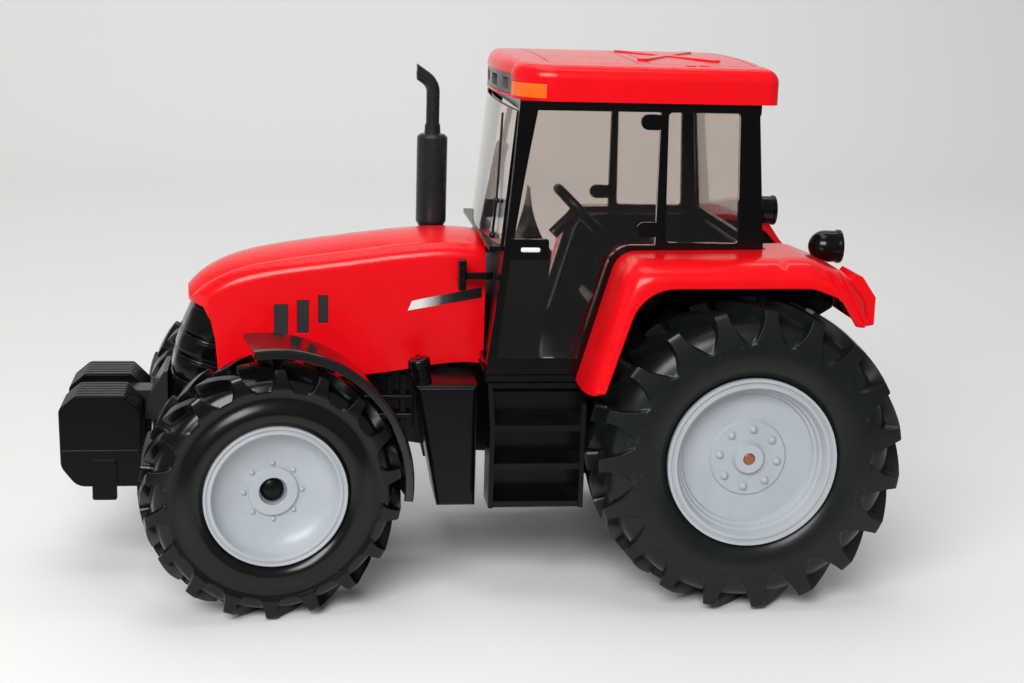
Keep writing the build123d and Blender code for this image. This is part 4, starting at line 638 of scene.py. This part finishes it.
# %% One pitch of a tyre
def tyre_part(name, size):
    """A mesh of one pitch of a tyre: both halves of the tread and the bead."""
    shape = bmesh.new()
    for side in (1, -1):
        rows = half_skin(size, side)
        bead = [(turn, side * BEAD_IN * size["wall"][0][0] * MM, radius) for turn, _, radius in rows[0]]
        grid_faces(shape, [[shape.verts.new((radius * sin(turn), y, radius * cos(turn)))
                            for turn, y, radius in row] for row in [bead] + rows], side)
    bmesh.ops.remove_doubles(shape, verts=shape.verts, dist=PITCH_MERGE)
    part = object_of(shape, name)
    print(name, len(part.data.polygons), "faces in one pitch")
    return part


# %% Copy the lugs round, and close the tyre towards the rim
def close_bead(mesh):
    """Bridge the two open beads of a tyre, so that it is a closed skin with outward faces."""
    shape = bmesh.new()
    shape.from_mesh(mesh)
    bmesh.ops.remove_doubles(shape, verts=shape.verts, dist=ONE_POINT)
    bmesh.ops.bridge_loops(shape, edges=[edge for edge in shape.edges if edge.is_boundary])
    bmesh.ops.recalc_face_normals(shape, faces=shape.faces)
    open_edges = sum(edge.is_boundary or not edge.is_manifold for edge in shape.edges)
    shape.to_mesh(mesh)
    shape.free()
    return open_edges


for end, size in TYRES.items():
    part = tyre_part(f"{end}_tyre_pitch", size)
    for side in SIDES:
        made = on_wheel(f"{side}_{end}_lugged_tyre", side, end, part, size["lugs"], size["phase"],
                        f"{end}_rubber")
        print("open edges", close_bead(made.data))
        creased(made.data, 38)
        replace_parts(made, f"{side}_{end}_tyre")
    bpy.data.objects.remove(part)


# %% [markdown]
# ## The wheel bolts
#
# Eight bolt heads stand in a ring on each wheel's disc. They are moulded with the wheel, so
# they are plain domes with a small collar at the foot. A squashed sphere would lack the
# collar, so one dome is turned from a short profile, and the tree copies it round the axle
# like the lugs.

# %% Rings, and the skin between them
def ring_of(centre, first, second, radius, count=14):
    """A circle of points round a centre, in the plane of two directions."""
    turns = [tau * k / count for k in range(count)]
    return [centre + (first * cos(turn) + second * sin(turn)) * radius for turn in turns]


def skin(shape, loops, closed=False, tip=None):
    """Add a skin through closed loops: joined end to end, or capped, or ending in a tip."""
    rings = [[shape.verts.new(Vector(point) * MM) for point in loop] for loop in loops]
    around = [(k, (k + 1) % len(rings[0])) for k in range(len(rings[0]))]
    for a, b in zip(rings, rings[1:] + rings[:1] if closed else rings[1:]):
        for k, after in around:
            shape.faces.new((a[k], a[after], b[after], b[k]))
    if closed:
        return
    shape.faces.new(rings[0][::-1])
    if tip is None:
        shape.faces.new(rings[-1])
    else:
        point = shape.verts.new(Vector(tip) * MM)
        for k, after in around:
            shape.faces.new((rings[-1][k], rings[-1][after], point))


# %% One bolt head
DOME_STEPS, DOME_SIDES, DOME_SUNK = 6, 24, 0.6


def dome(name, radius, height, collar, out, ring_r):
    """A bolt head whose foot is at `out` along the axle and `ring_r` from it."""
    profile = [(radius * 1.22, -DOME_SUNK), (radius * 1.22, collar * 0.5), (radius * 1.14, collar),
               (radius, collar)]
    profile += [(radius * cos(turn), collar + (height - collar) * sin(turn))
                for turn in quarter(DOME_STEPS)[1:-1]]
    shape = bmesh.new()
    skin(shape, [ring_of(Vector((0, out + h, ring_r)), AHEAD, ABOVE, r, DOME_SIDES) for r, h in profile],
         tip=(0, out + height, ring_r))
    bmesh.ops.recalc_face_normals(shape, faces=shape.faces)
    return object_of(shape, name)


# %% Bolts on all four wheels
# turn of the first bolt in degrees, then in millimetres: bolt radius, height, collar, the
# disc's place along the axle, radius of the ring of bolts
BOLTS = {"rear": (-6.9, 1.35, 1.5, 0.3, 11.1, 11.0), "front": (0.5, 0.85, 1.0, 0.2, 5.9, 10.5)}
BOLTS_IN_RING = 8
for end, (phase, *sizes) in BOLTS.items():
    for side, outwards in SIDES.items():
        part = dome(f"{end}_bolt", *sizes)
        if outwards < 0:
            part.data.transform(Matrix.Rotation(pi, 4, "Z"))
        made = on_wheel(f"{side}_{end}_bolts", side, end, part, BOLTS_IN_RING, phase * outwards,
                        "rim_grey")
        creased(made.data, 50)
        bpy.data.objects.remove(part)


# %% [markdown]
# ## Lofted pieces
#
# Several mouldings are softer than their CAD solids: rounded weights, pillow-shaped grille
# slats, a rear fender whose top rolls over into its skirt. A Bevel modifier on the CAD mesh
# would soften every edge alike. So each of them is a loft, a skin drawn through a row of
# closed loops that all have the same number of points, and takes the place of its CAD node.
# `rounded` and `shrunk` draw the outlines, `stacked` and `slab` stand them beside one
# another, and `finished` turns the mesh into a piece that rides on its body. Outlines are
# upright, with points of (ahead of the rear axle, height) in millimetres.

# %% Rounded outlines
def rounded(corners, steps=7):
    """A closed outline from (x, y, radius) corners, with `steps` points round each corner."""
    outline = []
    for i, (x, y, radius) in enumerate(corners):
        here = Vector((x, y))
        before = (Vector(corners[i - 1][:2]) - here).normalized()
        after = (Vector(corners[(i + 1) % len(corners)][:2]) - here).normalized()
        half = before.angle(after) / 2
        centre = here + (before + after).normalized() * radius / sin(half)
        start, end = (here + way * radius / tan(half) - centre for way in (before, after))
        for k in range(steps):
            outline.append(centre + start.slerp(end, k / (steps - 1)).normalized() * radius)
    return outline


def block(back, front, foot, top, low_radius, high_radius=None):
    """The corners of an upright rectangle, with the radii at its foot and at its top."""
    high_radius = high_radius or low_radius
    return [(back, foot, low_radius), (front, foot, low_radius), (front, top, high_radius),
            (back, top, high_radius)]


def shrunk(outline, inset):
    """A convex outline moved inwards along its own normals."""
    middle = sum(outline, Vector((0, 0))) / len(outline)
    made = []
    for i, point in enumerate(outline):
        along = outline[(i + 1) % len(outline)] - outline[i - 1]
        normal = Vector((along.y, -along.x)).normalized()
        if normal.dot(point - middle) < 0:
            normal = -normal
        made.append(point - normal * inset)
    return made


# %% Plates, and finished pieces
def stacked(shape, outline, outwards, levels):
    """Add a skin through one upright outline at levels of (out to the side, drawn in)."""
    skin(shape, [[(REAR_AXLE_X + ahead, outwards * out, height)
                  for ahead, height in (shrunk(outline, inset) if inset else outline)]
                 for out, inset in levels])


def slab(shape, outline, outwards, inner, outer, soft=0.0):
    """Add a plate between two distances to the side, drawn in a little at both faces if soft."""
    levels = [(inner, soft), (inner + soft, 0.0), (outer - soft, 0.0), (outer, soft)]
    stacked(shape, outline, outwards, levels if soft else levels[1:3])


def finished(shape, name, slot, finish=None, body="root", crease=40, sheet=False):
    """Turn a mesh in the making into a piece with its finish, riding on its body."""
    if not sheet:
        bmesh.ops.recalc_face_normals(shape, faces=shape.faces)
    made = object_of(shape, name)
    creased(made.data, crease)
    made.data.materials.append(finish or FINISHES[slot])
    scene.collection.objects.link(made)
    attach(made, body)
    print(name, len(made.data.polygons), "faces")
    return made


# %% [markdown]
# ## The front weights
#
# Six plates hang in each half of the stack. They could be twelve blocks, but the toy's are
# moulded in one, so one loft runs through six plates. Every plate is the same rounded
# outline, a little smaller at its two faces than in between, which leaves the fine grooves
# that run over the top of the stack. A lock plate with a tab is moulded on the outermost
# plate, and a thin bead crosses it.

# %% Sizes of the weights
# outline of a plate, (ahead, height, corner radius), anticlockwise from its lower back corner
PLATE = [(223.6, 36.3, 1.5), (247.6, 36.3, 6.5), (253.5, 44.0, 6.0), (253.9, 66.5, 3.5),
         (247.4, 71.9, 3.0), (230.0, 71.9, 1.8), (223.6, 65.4, 1.5)]
PLATES, STACK_INNER, STACK_OUTER = 6, 6.0, 28.0
# one plate from its inner to its outer face: (share of its thickness, how far it is drawn in)
PLATE_EDGE = [(0.0, 0.7), (0.1, 0.7), (0.1, 0.3), (0.2, 0.08), (0.3, 0.0), (0.8, 0.0), (0.92, 0.12),
              (1.0, 0.35)]
# the lock plate, its tab and the bead, each with its inner and outer face
LOCK = [(block(232.6, 242.2, 37.8, 47.0, 0.6, 1.0), 27.0, 28.45),
        (block(232.9, 242.0, 31.0, 40.0, 0.8, 0.4), 25.6, 27.9),
        (block(224.6, 253.0, 50.2, 50.7, 0.2), 27.6, 28.16)]

# %% Build the weights
shape = bmesh.new()
pitch = (STACK_OUTER - STACK_INNER) / PLATES
for outwards in SIDES.values():
    stacked(shape, rounded(PLATE), outwards, [(STACK_INNER + (i + share) * pitch, inset)
                                              for i in range(PLATES) for share, inset in PLATE_EDGE])
    for corners, inner, outer in LOCK:
        slab(shape, rounded(corners, steps=4), outwards, inner, outer, min(0.2, (outer - inner) / 3))
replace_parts(finished(shape, "rounded_weights", "black_gloss", weight_black), "front_weights")


# %% [markdown]
# ## The grille
#
# Four slats lie over one another and wrap round the nose. They could be four strips, but one
# loft through all their edges leaves no gaps between them. In plan each slat is a rounded
# rectangle, and its plane falls away towards the back. Its face is a low pillow with a fine
# line below the top edge, drawn in at both edges where the next slat overlaps. Both ends stop
# at the bonnet's mouth, whose edge is the same line as the CAD model's.

# %% Sizes of the grille
GRILLE_HALF, GRILLE_CORNER, GRILLE_BOW, GRILLE_BACK = 20.4, 11.0, 0.8, 185.0
RAKE = tan(radians(17))
RAKE_FROM = 204.0  # a slat's height is counted here, ahead of the rear axle
GRILLE_FOOT = 61.05  # no part of the grille is lower than this
FACE_STEPS, CORNER_STEPS, SLAT_POINTS = 6, 18, 30
# (height of the lower edge, of the upper edge, front at the lower, at the upper edge)
SLATS = [(57.0, 74.6, 214.1, 213.9), (75.0, 84.0, 213.9, 211.9), (84.4, 92.6, 212.1, 209.3),
         (93.0, 104.4, 209.5, 204.9)]
# across a slat: (distance from its lower edge if positive, from its upper edge if not, set back)
PILLOW = [(0.0, 1.0), (0.15, 0.5), (0.5, 0.12), (1.1, 0.0), (-2.6, 0.0), (-2.0, 0.05), (-1.75, 0.3),
          (-1.5, 0.3), (-1.25, 0.02), (-0.7, 0.05), (-0.25, 0.4), (-0.02, 1.0)]
# edge of the bonnet's mouth from its foot to the nose, (ahead, height)
MOUTH = [(194.7, 50.0), (194.7, 76.0), (196.0, 91.6), (197.7, 99.1), (200.5, 104.1), (204.7, 105.3),
         (216.0, 105.3)]


# %% The line of a slat
def resampled(line, count):
    """The same line with evenly spaced points."""
    lengths = [0.0]
    for a, b in zip(line, line[1:]):
        lengths.append(lengths[-1] + (b - a).length)
    made, i = [], 0
    for k in range(count):
        want = lengths[-1] * k / (count - 1)
        while i < len(line) - 2 and lengths[i + 1] < want:
            i += 1
        made.append(line[i].lerp(line[i + 1], (want - lengths[i]) / max(lengths[i + 1] - lengths[i], 1e-6)))
    return made


def mouth_ahead(height):
    """How far ahead the bonnet's mouth is at a height."""
    for (x0, z0), (x1, z1) in zip(MOUTH, MOUTH[1:]):
        if z0 <= height <= z1:
            return x0 + (x1 - x0) * (height - z0) / max(z1 - z0, 1e-6)
    return MOUTH[-1][0]


def slat_line(level, front, inset):
    """One side of a slat's outline at one level, from the nose's middle back to the mouth."""
    half, radius, long = GRILLE_HALF - inset, GRILLE_CORNER, front - inset
    plan = [(long - GRILLE_BOW * (k / FACE_STEPS) ** 2, (half - radius) * k / FACE_STEPS)
            for k in range(FACE_STEPS + 1)]
    plan += [(long - GRILLE_BOW - (radius - GRILLE_BOW) * (1 - cos(turn)), half - radius + radius * sin(turn))
             for turn in quarter(CORNER_STEPS)[1:]] + [(GRILLE_BACK, half)]
    points = [Vector((x, y, max(level + (x - RAKE_FROM) * RAKE, GRILLE_FOOT))) for x, y in plan]
    line = [points[0]]
    for a, b in zip(points, points[1:]):
        over_a, over_b = a.x - mouth_ahead(a.z), b.x - mouth_ahead(b.z)
        if over_b <= 0:
            line.append(a.lerp(b, over_a / (over_a - over_b)))
            break
        line.append(b)
    return resampled(line, SLAT_POINTS)


# %% Build the grille
loops = []
for low, high, low_front, high_front in SLATS:
    for reach, back in PILLOW:
        level = low + reach if reach >= 0 else high + reach
        share = (level - low) / (high - low)
        half = slat_line(level, low_front + (high_front - low_front) * share, back)
        whole = half[::-1] + [Vector((p.x, -p.y, p.z)) for p in half[1:]]
        loops.append([p + AHEAD * REAR_AXLE_X for p in whole])
shape = bmesh.new()
skin(shape, loops)
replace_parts(finished(shape, "slatted_grille", "black_gloss"), "grille")


# %% [markdown]
# ## The front wheel discs
#
# The front disc is a bowl that curves from the rim's lip down to its flat floor, with a
# raised hub flange round a deep hole. The rear disc's steps are sharp, so its CAD node stays
# as it is. The bowl is a lathe: one closed outline, turned about the wheel's own axle. A
# Screw modifier could turn it, but only about an axis of its object, and a finished object
# has to stay unturned; rings of points, one ring for each point of the outline, can stand at
# the steering angle.

# %% Sizes of the front discs
# (in from the rim's outer edge, radius), from the lip over the bowl and the hub to the hole
LIP = [(0.15, 25.9), (0.0, 25.7), (0.0, 25.1), (0.15, 24.9), (0.5, 24.8), (0.5, 24.35), (0.15, 24.2),
       (0.05, 24.0), (0.05, 23.3)]
BOWL = [(0.3, 23.0), (1.4, 22.6), (3.0, 21.9), (4.6, 20.7), (5.9, 19.0), (6.9, 16.9), (7.7, 14.4),
        (8.2, 12.0), (8.3, 10.4), (8.3, 9.2)]
HUB = [(8.2, 9.0), (7.3, 8.95), (7.1, 8.75), (7.1, 5.35), (7.3, 5.1), (11.2, 5.1)]
# the back, from the hub out to the inner and the outer flange
DISC_BACK = [(11.2, 3.3), (17.2, 3.3), (17.2, 7.0), (13.4, 8.6), (10.2, 13.6), (9.4, 18.0), (6.4, 21.6),
             (28.4, 22.0), (28.4, 25.9), (26.4, 25.9), (26.4, 23.4), (2.0, 23.4), (2.0, 25.9)]
RIM_EDGE_OUT = 14.2  # from the middle of the tyre out to the rim's edge
LATHE_STEPS = 96

# %% Build the front discs
profile = LIP + [tuple(point) for point in smooth_line(BOWL, 3)] + HUB + DISC_BACK
for side, outwards in SIDES.items():
    centre, steer = WHEELS[side, "front"]
    place = Matrix.Translation(centre / MM) @ Matrix.Rotation(steer, 4, "Z")
    shape = bmesh.new()
    skin(shape, [[place @ point for point in ring_of(ACROSS * outwards * (RIM_EDGE_OUT - depth), AHEAD,
                                                     ABOVE, radius, LATHE_STEPS)]
                 for depth, radius in profile], closed=True)
    disc = finished(shape, f"{side}_front_disc", "rim_grey", body=f"{side}_front_wheel", crease=35)
    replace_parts(disc, f"{side}_front_rim")


# %% [markdown]
# ## The rear fenders
#
# The top of each fender rolls over into its outer skirt in one wide curve, and the same curve
# runs down the leg beside the steps. A bevel would give one radius all along; this roll
# reaches further over the top than down the skirt, and closes towards the foot and the tail.
# So the loft has one section at each station along the fender. A section is a bent sheet:
# flat from its inner edge, round the roll, and down to the skirt's edge. The top and the
# skirt are the CAD model's lines. Behind the cab the sheet reaches further in. Each fender
# carries its moulded tail light and two ridges that run down the skirt from it.

# %% Sizes of the rear fenders
# the line of the top and of the skirt's edge, from the foot to the tail: (ahead, height, radius)
FENDER_TOP = [(62.4, 83.1, 0), (48.2, 132.2, 9.0), (-19.0, 133.2, 14.0), (-33.4, 127.6, 10.0),
              (-41.4, 119.0, 6.0), (-41.4, 108.6, 0)]
FENDER_EDGE = [(56.0, 83.1, 0), (43.5, 122.9, 16.0), (-19.0, 123.3, 14.0), (-29.5, 119.4, 7.0),
               (-35.8, 109.4, 0)]
# points of the top that stand over points of the skirt's edge
OVER_EACH_OTHER = [((46.3, 129.6), (39.6, 119.6)), ((-19.0, 133.2), (-19.0, 123.3)),
                   ((-36.5, 124.6), (-29.5, 119.4))]
STATION_COUNTS = (26, 30, 14, 12)  # sections in each stretch between those points
LINE_POINTS = 400
FENDER_OUT, FENDER_IN, TAIL_IN = 77.0, 50.0, 36.5
TAIL_START, FENDER_SKIN, FOOT_ROUND = -7.3, 2.2, 3.0
ROLL_ACROSS, ROLL_DOWN = 12.0, 8.5  # how far the roll reaches over the top and down the skirt
ROLL_STEPS, ROLL_SHARE = 12, 0.75  # the share of a short skirt that the roll may take
EDGE_CUT = 0.5  # the skirt's lower edge is cut off at the corner
# outlines of the small parts, and below them from where to where each reaches to the side
TAIL_LIGHT = [(-33.2, 125.0), (-35.6, 128.2), (-38.4, 127.0), (-43.8, 119.4), (-43.8, 109.2),
              (-40.4, 108.6)]
# the black wall under the tail is painted shade for the dark gap behind the tyre
SHADE_WALL_OUTLINE = [(-12.0, 130.8), (-19.0, 130.6), (-31.4, 125.9), (-38.8, 118.0), (-38.8, 108.6),
             (-30.0, 103.0), (-12.0, 103.0)]
RIDGES = [[(-23.0, 130.2), (-25.4, 129.2), (-38.2, 110.4), (-36.4, 110.4)],
          [(-27.4, 130.2), (-29.8, 127.0), (-40.4, 110.4), (-38.6, 110.4)]]
LIGHT_REACH, SHADE_WALL_REACH, RIDGE_REACH = (56.0, 72.0), (36.6, 38.0), (76.3, 77.6)


# %% The line of a fender, and its sections
def open_line(corners, steps=9):
    """An open outline through (x, y, radius) corners, its inner corners rounded."""
    bends = rounded([(x, y, max(radius, 0.01)) for x, y, radius in corners], steps)
    return [Vector(corners[0][:2])] + bends[steps:-steps] + [Vector(corners[-1][:2])]


def stations(corners, marks):
    """The line through corners, cut at the points nearest its marks into even steps."""
    line = resampled(open_line(corners), LINE_POINTS)
    cuts = [0] + [min(range(len(line)), key=lambda i: (line[i] - Vector(mark)).length) for mark in marks]
    cuts.append(len(line) - 1)
    made = []
    for start, end, count in zip(cuts, cuts[1:], STATION_COUNTS):
        made += resampled(line[start:end + 1], count + 1)[:-1]
    return made + [line[-1]]


def fender_section(top, edge, inner, closing):
    """One section, as (ahead, left, height) points; closing draws its outer face in."""
    down = (edge - top).normalized()
    drop = (edge - top).length - closing * 0.5
    out = FENDER_OUT - closing
    roll_down = min(ROLL_DOWN, drop * ROLL_SHARE)
    arc = quarter(ROLL_STEPS)
    sheet = [(inner, 0.0)]
    sheet += [(out - ROLL_ACROSS * (1 - sin(turn)), roll_down * (1 - cos(turn))) for turn in arc]
    sheet += [(out, drop - EDGE_CUT), (out - EDGE_CUT, drop), (out - FENDER_SKIN, drop)]
    across, down_in = ROLL_ACROSS - FENDER_SKIN, max(roll_down - FENDER_SKIN, 0.2)
    sheet += [(out - FENDER_SKIN - across * (1 - sin(turn)),
               FENDER_SKIN + down_in * (1 - cos(turn))) for turn in arc[::-1]]
    sheet.append((inner, FENDER_SKIN))
    return [(REAR_AXLE_X + top.x + down.x * depth, y, top.y + down.y * depth) for y, depth in sheet]


# %% Build the rear fenders
tops = stations(FENDER_TOP, [top for top, _ in OVER_EACH_OTHER])
edges = stations(FENDER_EDGE, [edge for _, edge in OVER_EACH_OTHER])
sections = []
behind = False
for top, edge in zip(tops, edges):
    # the end of the leg is rounded off
    near_foot = max(0.0, 1.0 - (top - tops[0]).length / FOOT_ROUND)
    closing = FOOT_ROUND * (1.0 - sqrt(1.0 - near_foot ** 2))
    if top.x < TAIL_START and not behind:
        sections.append(fender_section(top, edge, FENDER_IN, closing))
        behind = True
    sections.append(fender_section(top, edge, TAIL_IN if behind else FENDER_IN, closing))

for side, outwards in SIDES.items():
    shape = bmesh.new()
    skin(shape, [[(x, outwards * y, z) for x, y, z in section] for section in sections])
    slab(shape, TAIL_LIGHT, outwards, *LIGHT_REACH)
    for ridge in RIDGES:
        slab(shape, ridge, outwards, *RIDGE_REACH)
    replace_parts(finished(shape, f"{side}_rolled_fender", "red_gloss"), f"{side}_fender")
    # a black wall closes the gap under the tail behind the tyre: painted shade, its black stands for the dark in
    # that gap
    shape = bmesh.new()
    slab(shape, SHADE_WALL_OUTLINE, outwards, *SHADE_WALL_REACH)
    finished(shape, f"{side}_well_tail", "black_satin")


# %% [markdown]
# ## The steering wheel
#
# The wheel is a thick ring whose plane leans back at 45 degrees, with three spokes, a domed
# hub and the column below it. The ring could be Blender's own torus, but spokes and column
# are lofts along short paths in any case, and a ring is such a loft joined end to end.

# %% Build the steering wheel
WHEEL_MIDDLE = Vector((REAR_AXLE_X + 55.1, 0.0, 139.9))
WHEEL_R, WIRE_R = 11.4, 2.0  # to the middle of the wire, and the wire itself
SPOKE = [(1.0, 1.9), (4.0, 1.6), (8.0, 1.4), (WHEEL_R - 0.4, 1.6)]  # (out from the hub, radius)
# hub and column, (down from the wheel's middle, radius)
COLUMN = [(-1.9, 1.6), (-1.7, 2.8), (-1.0, 3.6), (0.8, 3.8), (1.6, 3.0), (3.0, 2.3), (14.0, 2.3)]
UP, DOWN = (AHEAD + ABOVE).normalized(), (AHEAD - ABOVE).normalized()  # in the plane, and square to it


def outward(turn):
    """The direction of a turn in degrees in the steering wheel's plane."""
    return ACROSS * cos(radians(turn)) + UP * sin(radians(turn))


shape = bmesh.new()
skin(shape, [ring_of(WHEEL_MIDDLE + outward(turn) * WHEEL_R, outward(turn), DOWN, WIRE_R)
             for turn in range(0, 360, 8)], closed=True)
for turn in (90, 210, 330):
    spoke = outward(turn)
    skin(shape, [ring_of(WHEEL_MIDDLE + spoke * out, DOWN.cross(spoke), DOWN, radius)
                 for out, radius in SPOKE])
skin(shape, [ring_of(WHEEL_MIDDLE + DOWN * down, ACROSS, UP, radius, count=20)
             for down, radius in COLUMN])
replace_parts(finished(shape, "round_steering_wheel", "black_satin"), "steering_wheel")


# %% [markdown]
# ## The wiper
#
# The wiper stands close to the left pillar. Its arm rises from the cowl to a round pivot, and
# its blade leans inwards up the windscreen. A bevelled curve could draw them, but it decides
# by itself how a flat section turns along the way; in a loft each loop's turn is set. Both
# lie on the bowed glass, so each point's distance ahead comes from the glass.

# %% Build the wiper
# the windscreen at its foot and at its top: (height, ahead at its sides, ahead at its middle)
GLASS_FOOT, GLASS_TOP = (132.9, 91.6, 95.4), (182.5, 86.9, 89.4)
GLASS_HALF = 46.4
ARM = [(37.6, 135.6), (37.4, 141.0), (37.0, 148.5)]  # (to the left, height)
BLADE = [(37.3, 146.5), (35.2, 155.0), (32.0, 166.0), (27.4, 180.0)]
BARS = [(ARM, 0.9, 0.6, 0.5), (BLADE, 0.8, 0.85, 0.45)]  # off the glass, half width, half depth
KNOBS = [(*ARM[-1], 1.2), (*ARM[0], 1.3)]  # the pivot and the foot of the arm, with their radii
KNOB_OFF = 0.9  # from the glass


def on_glass(y, z, off):
    """A point of the windscreen's outside, lifted off it."""
    share = (z - GLASS_FOOT[0]) / (GLASS_TOP[0] - GLASS_FOOT[0])
    side, middle = (low + (high - low) * share for low, high in zip(GLASS_FOOT[1:], GLASS_TOP[1:]))
    ahead = side + (middle - side) * (1 - (y / GLASS_HALF) ** 2)
    return Vector((REAR_AXLE_X + ahead + off, y, z))


shape = bmesh.new()
for path, off, half_width, half_depth in BARS:
    line = [on_glass(y, z, off) for y, z in path]
    loops = []
    for i, point in enumerate(line):
        along = (line[min(i + 1, len(line) - 1)] - line[max(i - 1, 0)]).normalized()
        ahead = along.cross(ACROSS).normalized()
        loops.append(ring_of(point, ACROSS * half_width, ahead * half_depth, 1.0, count=12))
    skin(shape, loops)
for y, z, radius in KNOBS:
    bmesh.ops.create_uvsphere(shape, u_segments=16, v_segments=10, radius=radius * MM,
                              matrix=Matrix.Translation(on_glass(y, z, KNOB_OFF) * MM))
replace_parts(finished(shape, "leaning_wiper", "black_gloss"), "wiper")


# %% [markdown]
# ## The indicators and the door handles
#
# Behind the bonnet a small upright indicator stands out from the cowl on each side, on one
# short arm. Two fine ridges divide its face. On the black block of each door handle, which
# the CAD frame has, lies a white bar. Plain boxes would have knife edges, so the indicator
# and the bar are plates with rounded outlines whose faces are drawn in a little. The arm and
# the ridges are too thin for that, and their faces stay flat to the edge.

# %% Build the indicators
arm_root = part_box("indicators")[0].x / MM - REAR_AXLE_X
ARM_CORNERS = [(arm_root, 117.6), (103.0, 117.6), (103.0, 120.2), (arm_root, 120.2)]
FACE_CORNERS = block(102.2, 105.2, 113.5, 125.2, 0.9)
FINE_RIDGES = [block(102.0, 105.4, foot, foot + 0.5, 0.15) for foot in (117.2, 121.6)]
shape = bmesh.new()
for outwards in SIDES.values():
    slab(shape, rounded(FACE_CORNERS, steps=5), outwards, 29.0, 33.0, 0.4)
    slab(shape, ARM_CORNERS, outwards, 30.0, 32.0)
    for ridge in FINE_RIDGES:
        slab(shape, rounded(ridge, steps=3), outwards, 28.9, 33.1)
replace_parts(finished(shape, "single_arm_indicators", "black_gloss"), "indicators")

# %% Build the handles
HANDLE_FACE = 51.6
HANDLE_BAR = rounded(block(77.4, 84.6, 131.7, 133.4, 0.7), steps=5)
BAR_LEVELS = [(-0.2, 0.0), (0.25, 0.0), (0.45, 0.2), (0.5, 0.5)]  # (out from the block, drawn in)
for side, outwards in SIDES.items():
    shape = bmesh.new()
    stacked(shape, HANDLE_BAR, outwards, [(HANDLE_FACE + out, inset) for out, inset in BAR_LEVELS])
    finished(shape, f"{side}_handle_bar", "grey_panel", white_plastic)


# %% [markdown]
# ## The printed stripe
#
# A plain stripe is printed along each side of the bonnet: white at its front end, fading to
# black before it reaches the cab. It could be part of the bonnet's material, but its edges
# follow no edge of the bonnet. A print has no thickness to speak of, so it is a strip of mesh
# laid on the bonnet by casting rays at it from the side, lifted by a few hundredths of a
# millimetre. Its fade reads the distance along the tractor from the Object coordinates.

# %% Stripe material
STRIPE_FRONT, STRIPE_BACK = 123.4, 95.2  # ahead of the rear axle


def printed_fade(name):
    """White ink that fades to black along the tractor."""
    material, tree, shader, place = begin(name)
    along = node(tree, "ShaderNodeSeparateXYZ", {0: place}).outputs["X"]
    share = spread(tree, along, 0.0, 1.0, (REAR_AXLE_X + STRIPE_BACK) * MM, (REAR_AXLE_X + STRIPE_FRONT) * MM)
    grain = noise(tree, place, 0.3 * MM)
    ink = ramp(tree, maths(tree, "MULTIPLY_ADD", grain, 0.16, share), (0.46, tone(22, 20, 21)),
               (0.62, tone(66, 60, 61)), (0.76, tone(176, 170, 170)), (0.9, tone(232, 230, 228)))
    feed(tree, shader, {"Base Color": ink, "Roughness": spread(tree, grain, 0.22, 0.34)})
    print("finish", name)
    return material


stripe_ink = printed_fade("stripe_ink")


# %% Lay the stripe on the bonnet
STRIPE_LOW, STRIPE_HIGH = (104.0, 109.2), (107.6, 113.2)  # heights of its edges, front and back
STRIPE_SLANT = 1.4  # how far the front end leans back
STRIPE_LIFT, RAYS_FROM = 0.05, 60.0  # off the bonnet; out to the side, where the rays start
ALONG, UPWARDS = 40, 6  # faces
bonnet = nodes["bonnet"].data
surface = BVHTree.FromPolygons([v.co for v in bonnet.vertices], [tuple(p.vertices) for p in bonnet.polygons])
for side, outwards in SIDES.items():
    shape = bmesh.new()
    grid = []
    for i in range(ALONG + 1):
        share = i / ALONG
        ahead = STRIPE_FRONT + (STRIPE_BACK - STRIPE_FRONT) * share
        low, high = (front + (back - front) * share for front, back in (STRIPE_LOW, STRIPE_HIGH))
        slant = STRIPE_SLANT * (1 - share) ** 8
        grid.append([])
        for up in (j / UPWARDS for j in range(UPWARDS + 1)):
            start = Vector((REAR_AXLE_X + ahead - slant * up, outwards * RAYS_FROM, low + (high - low) * up))
            hit, _, _, _ = surface.ray_cast(start * MM, ACROSS * -outwards)
            grid[-1].append(shape.verts.new(hit + ACROSS * outwards * STRIPE_LIFT * MM))
    grid_faces(shape, grid, -outwards)
    made = finished(shape, f"{side}_stripe", "grey_panel", stripe_ink, crease=180, sheet=True)
    print(sum(p.normal.y * outwards > 0 for p in made.data.polygons), "of them point outwards")


# %% Sizes, then finish
visual_low, visual_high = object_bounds()
sizes = {"cad": [list(cad_low), list(cad_high)], "visual": [list(visual_low), list(visual_high)]}
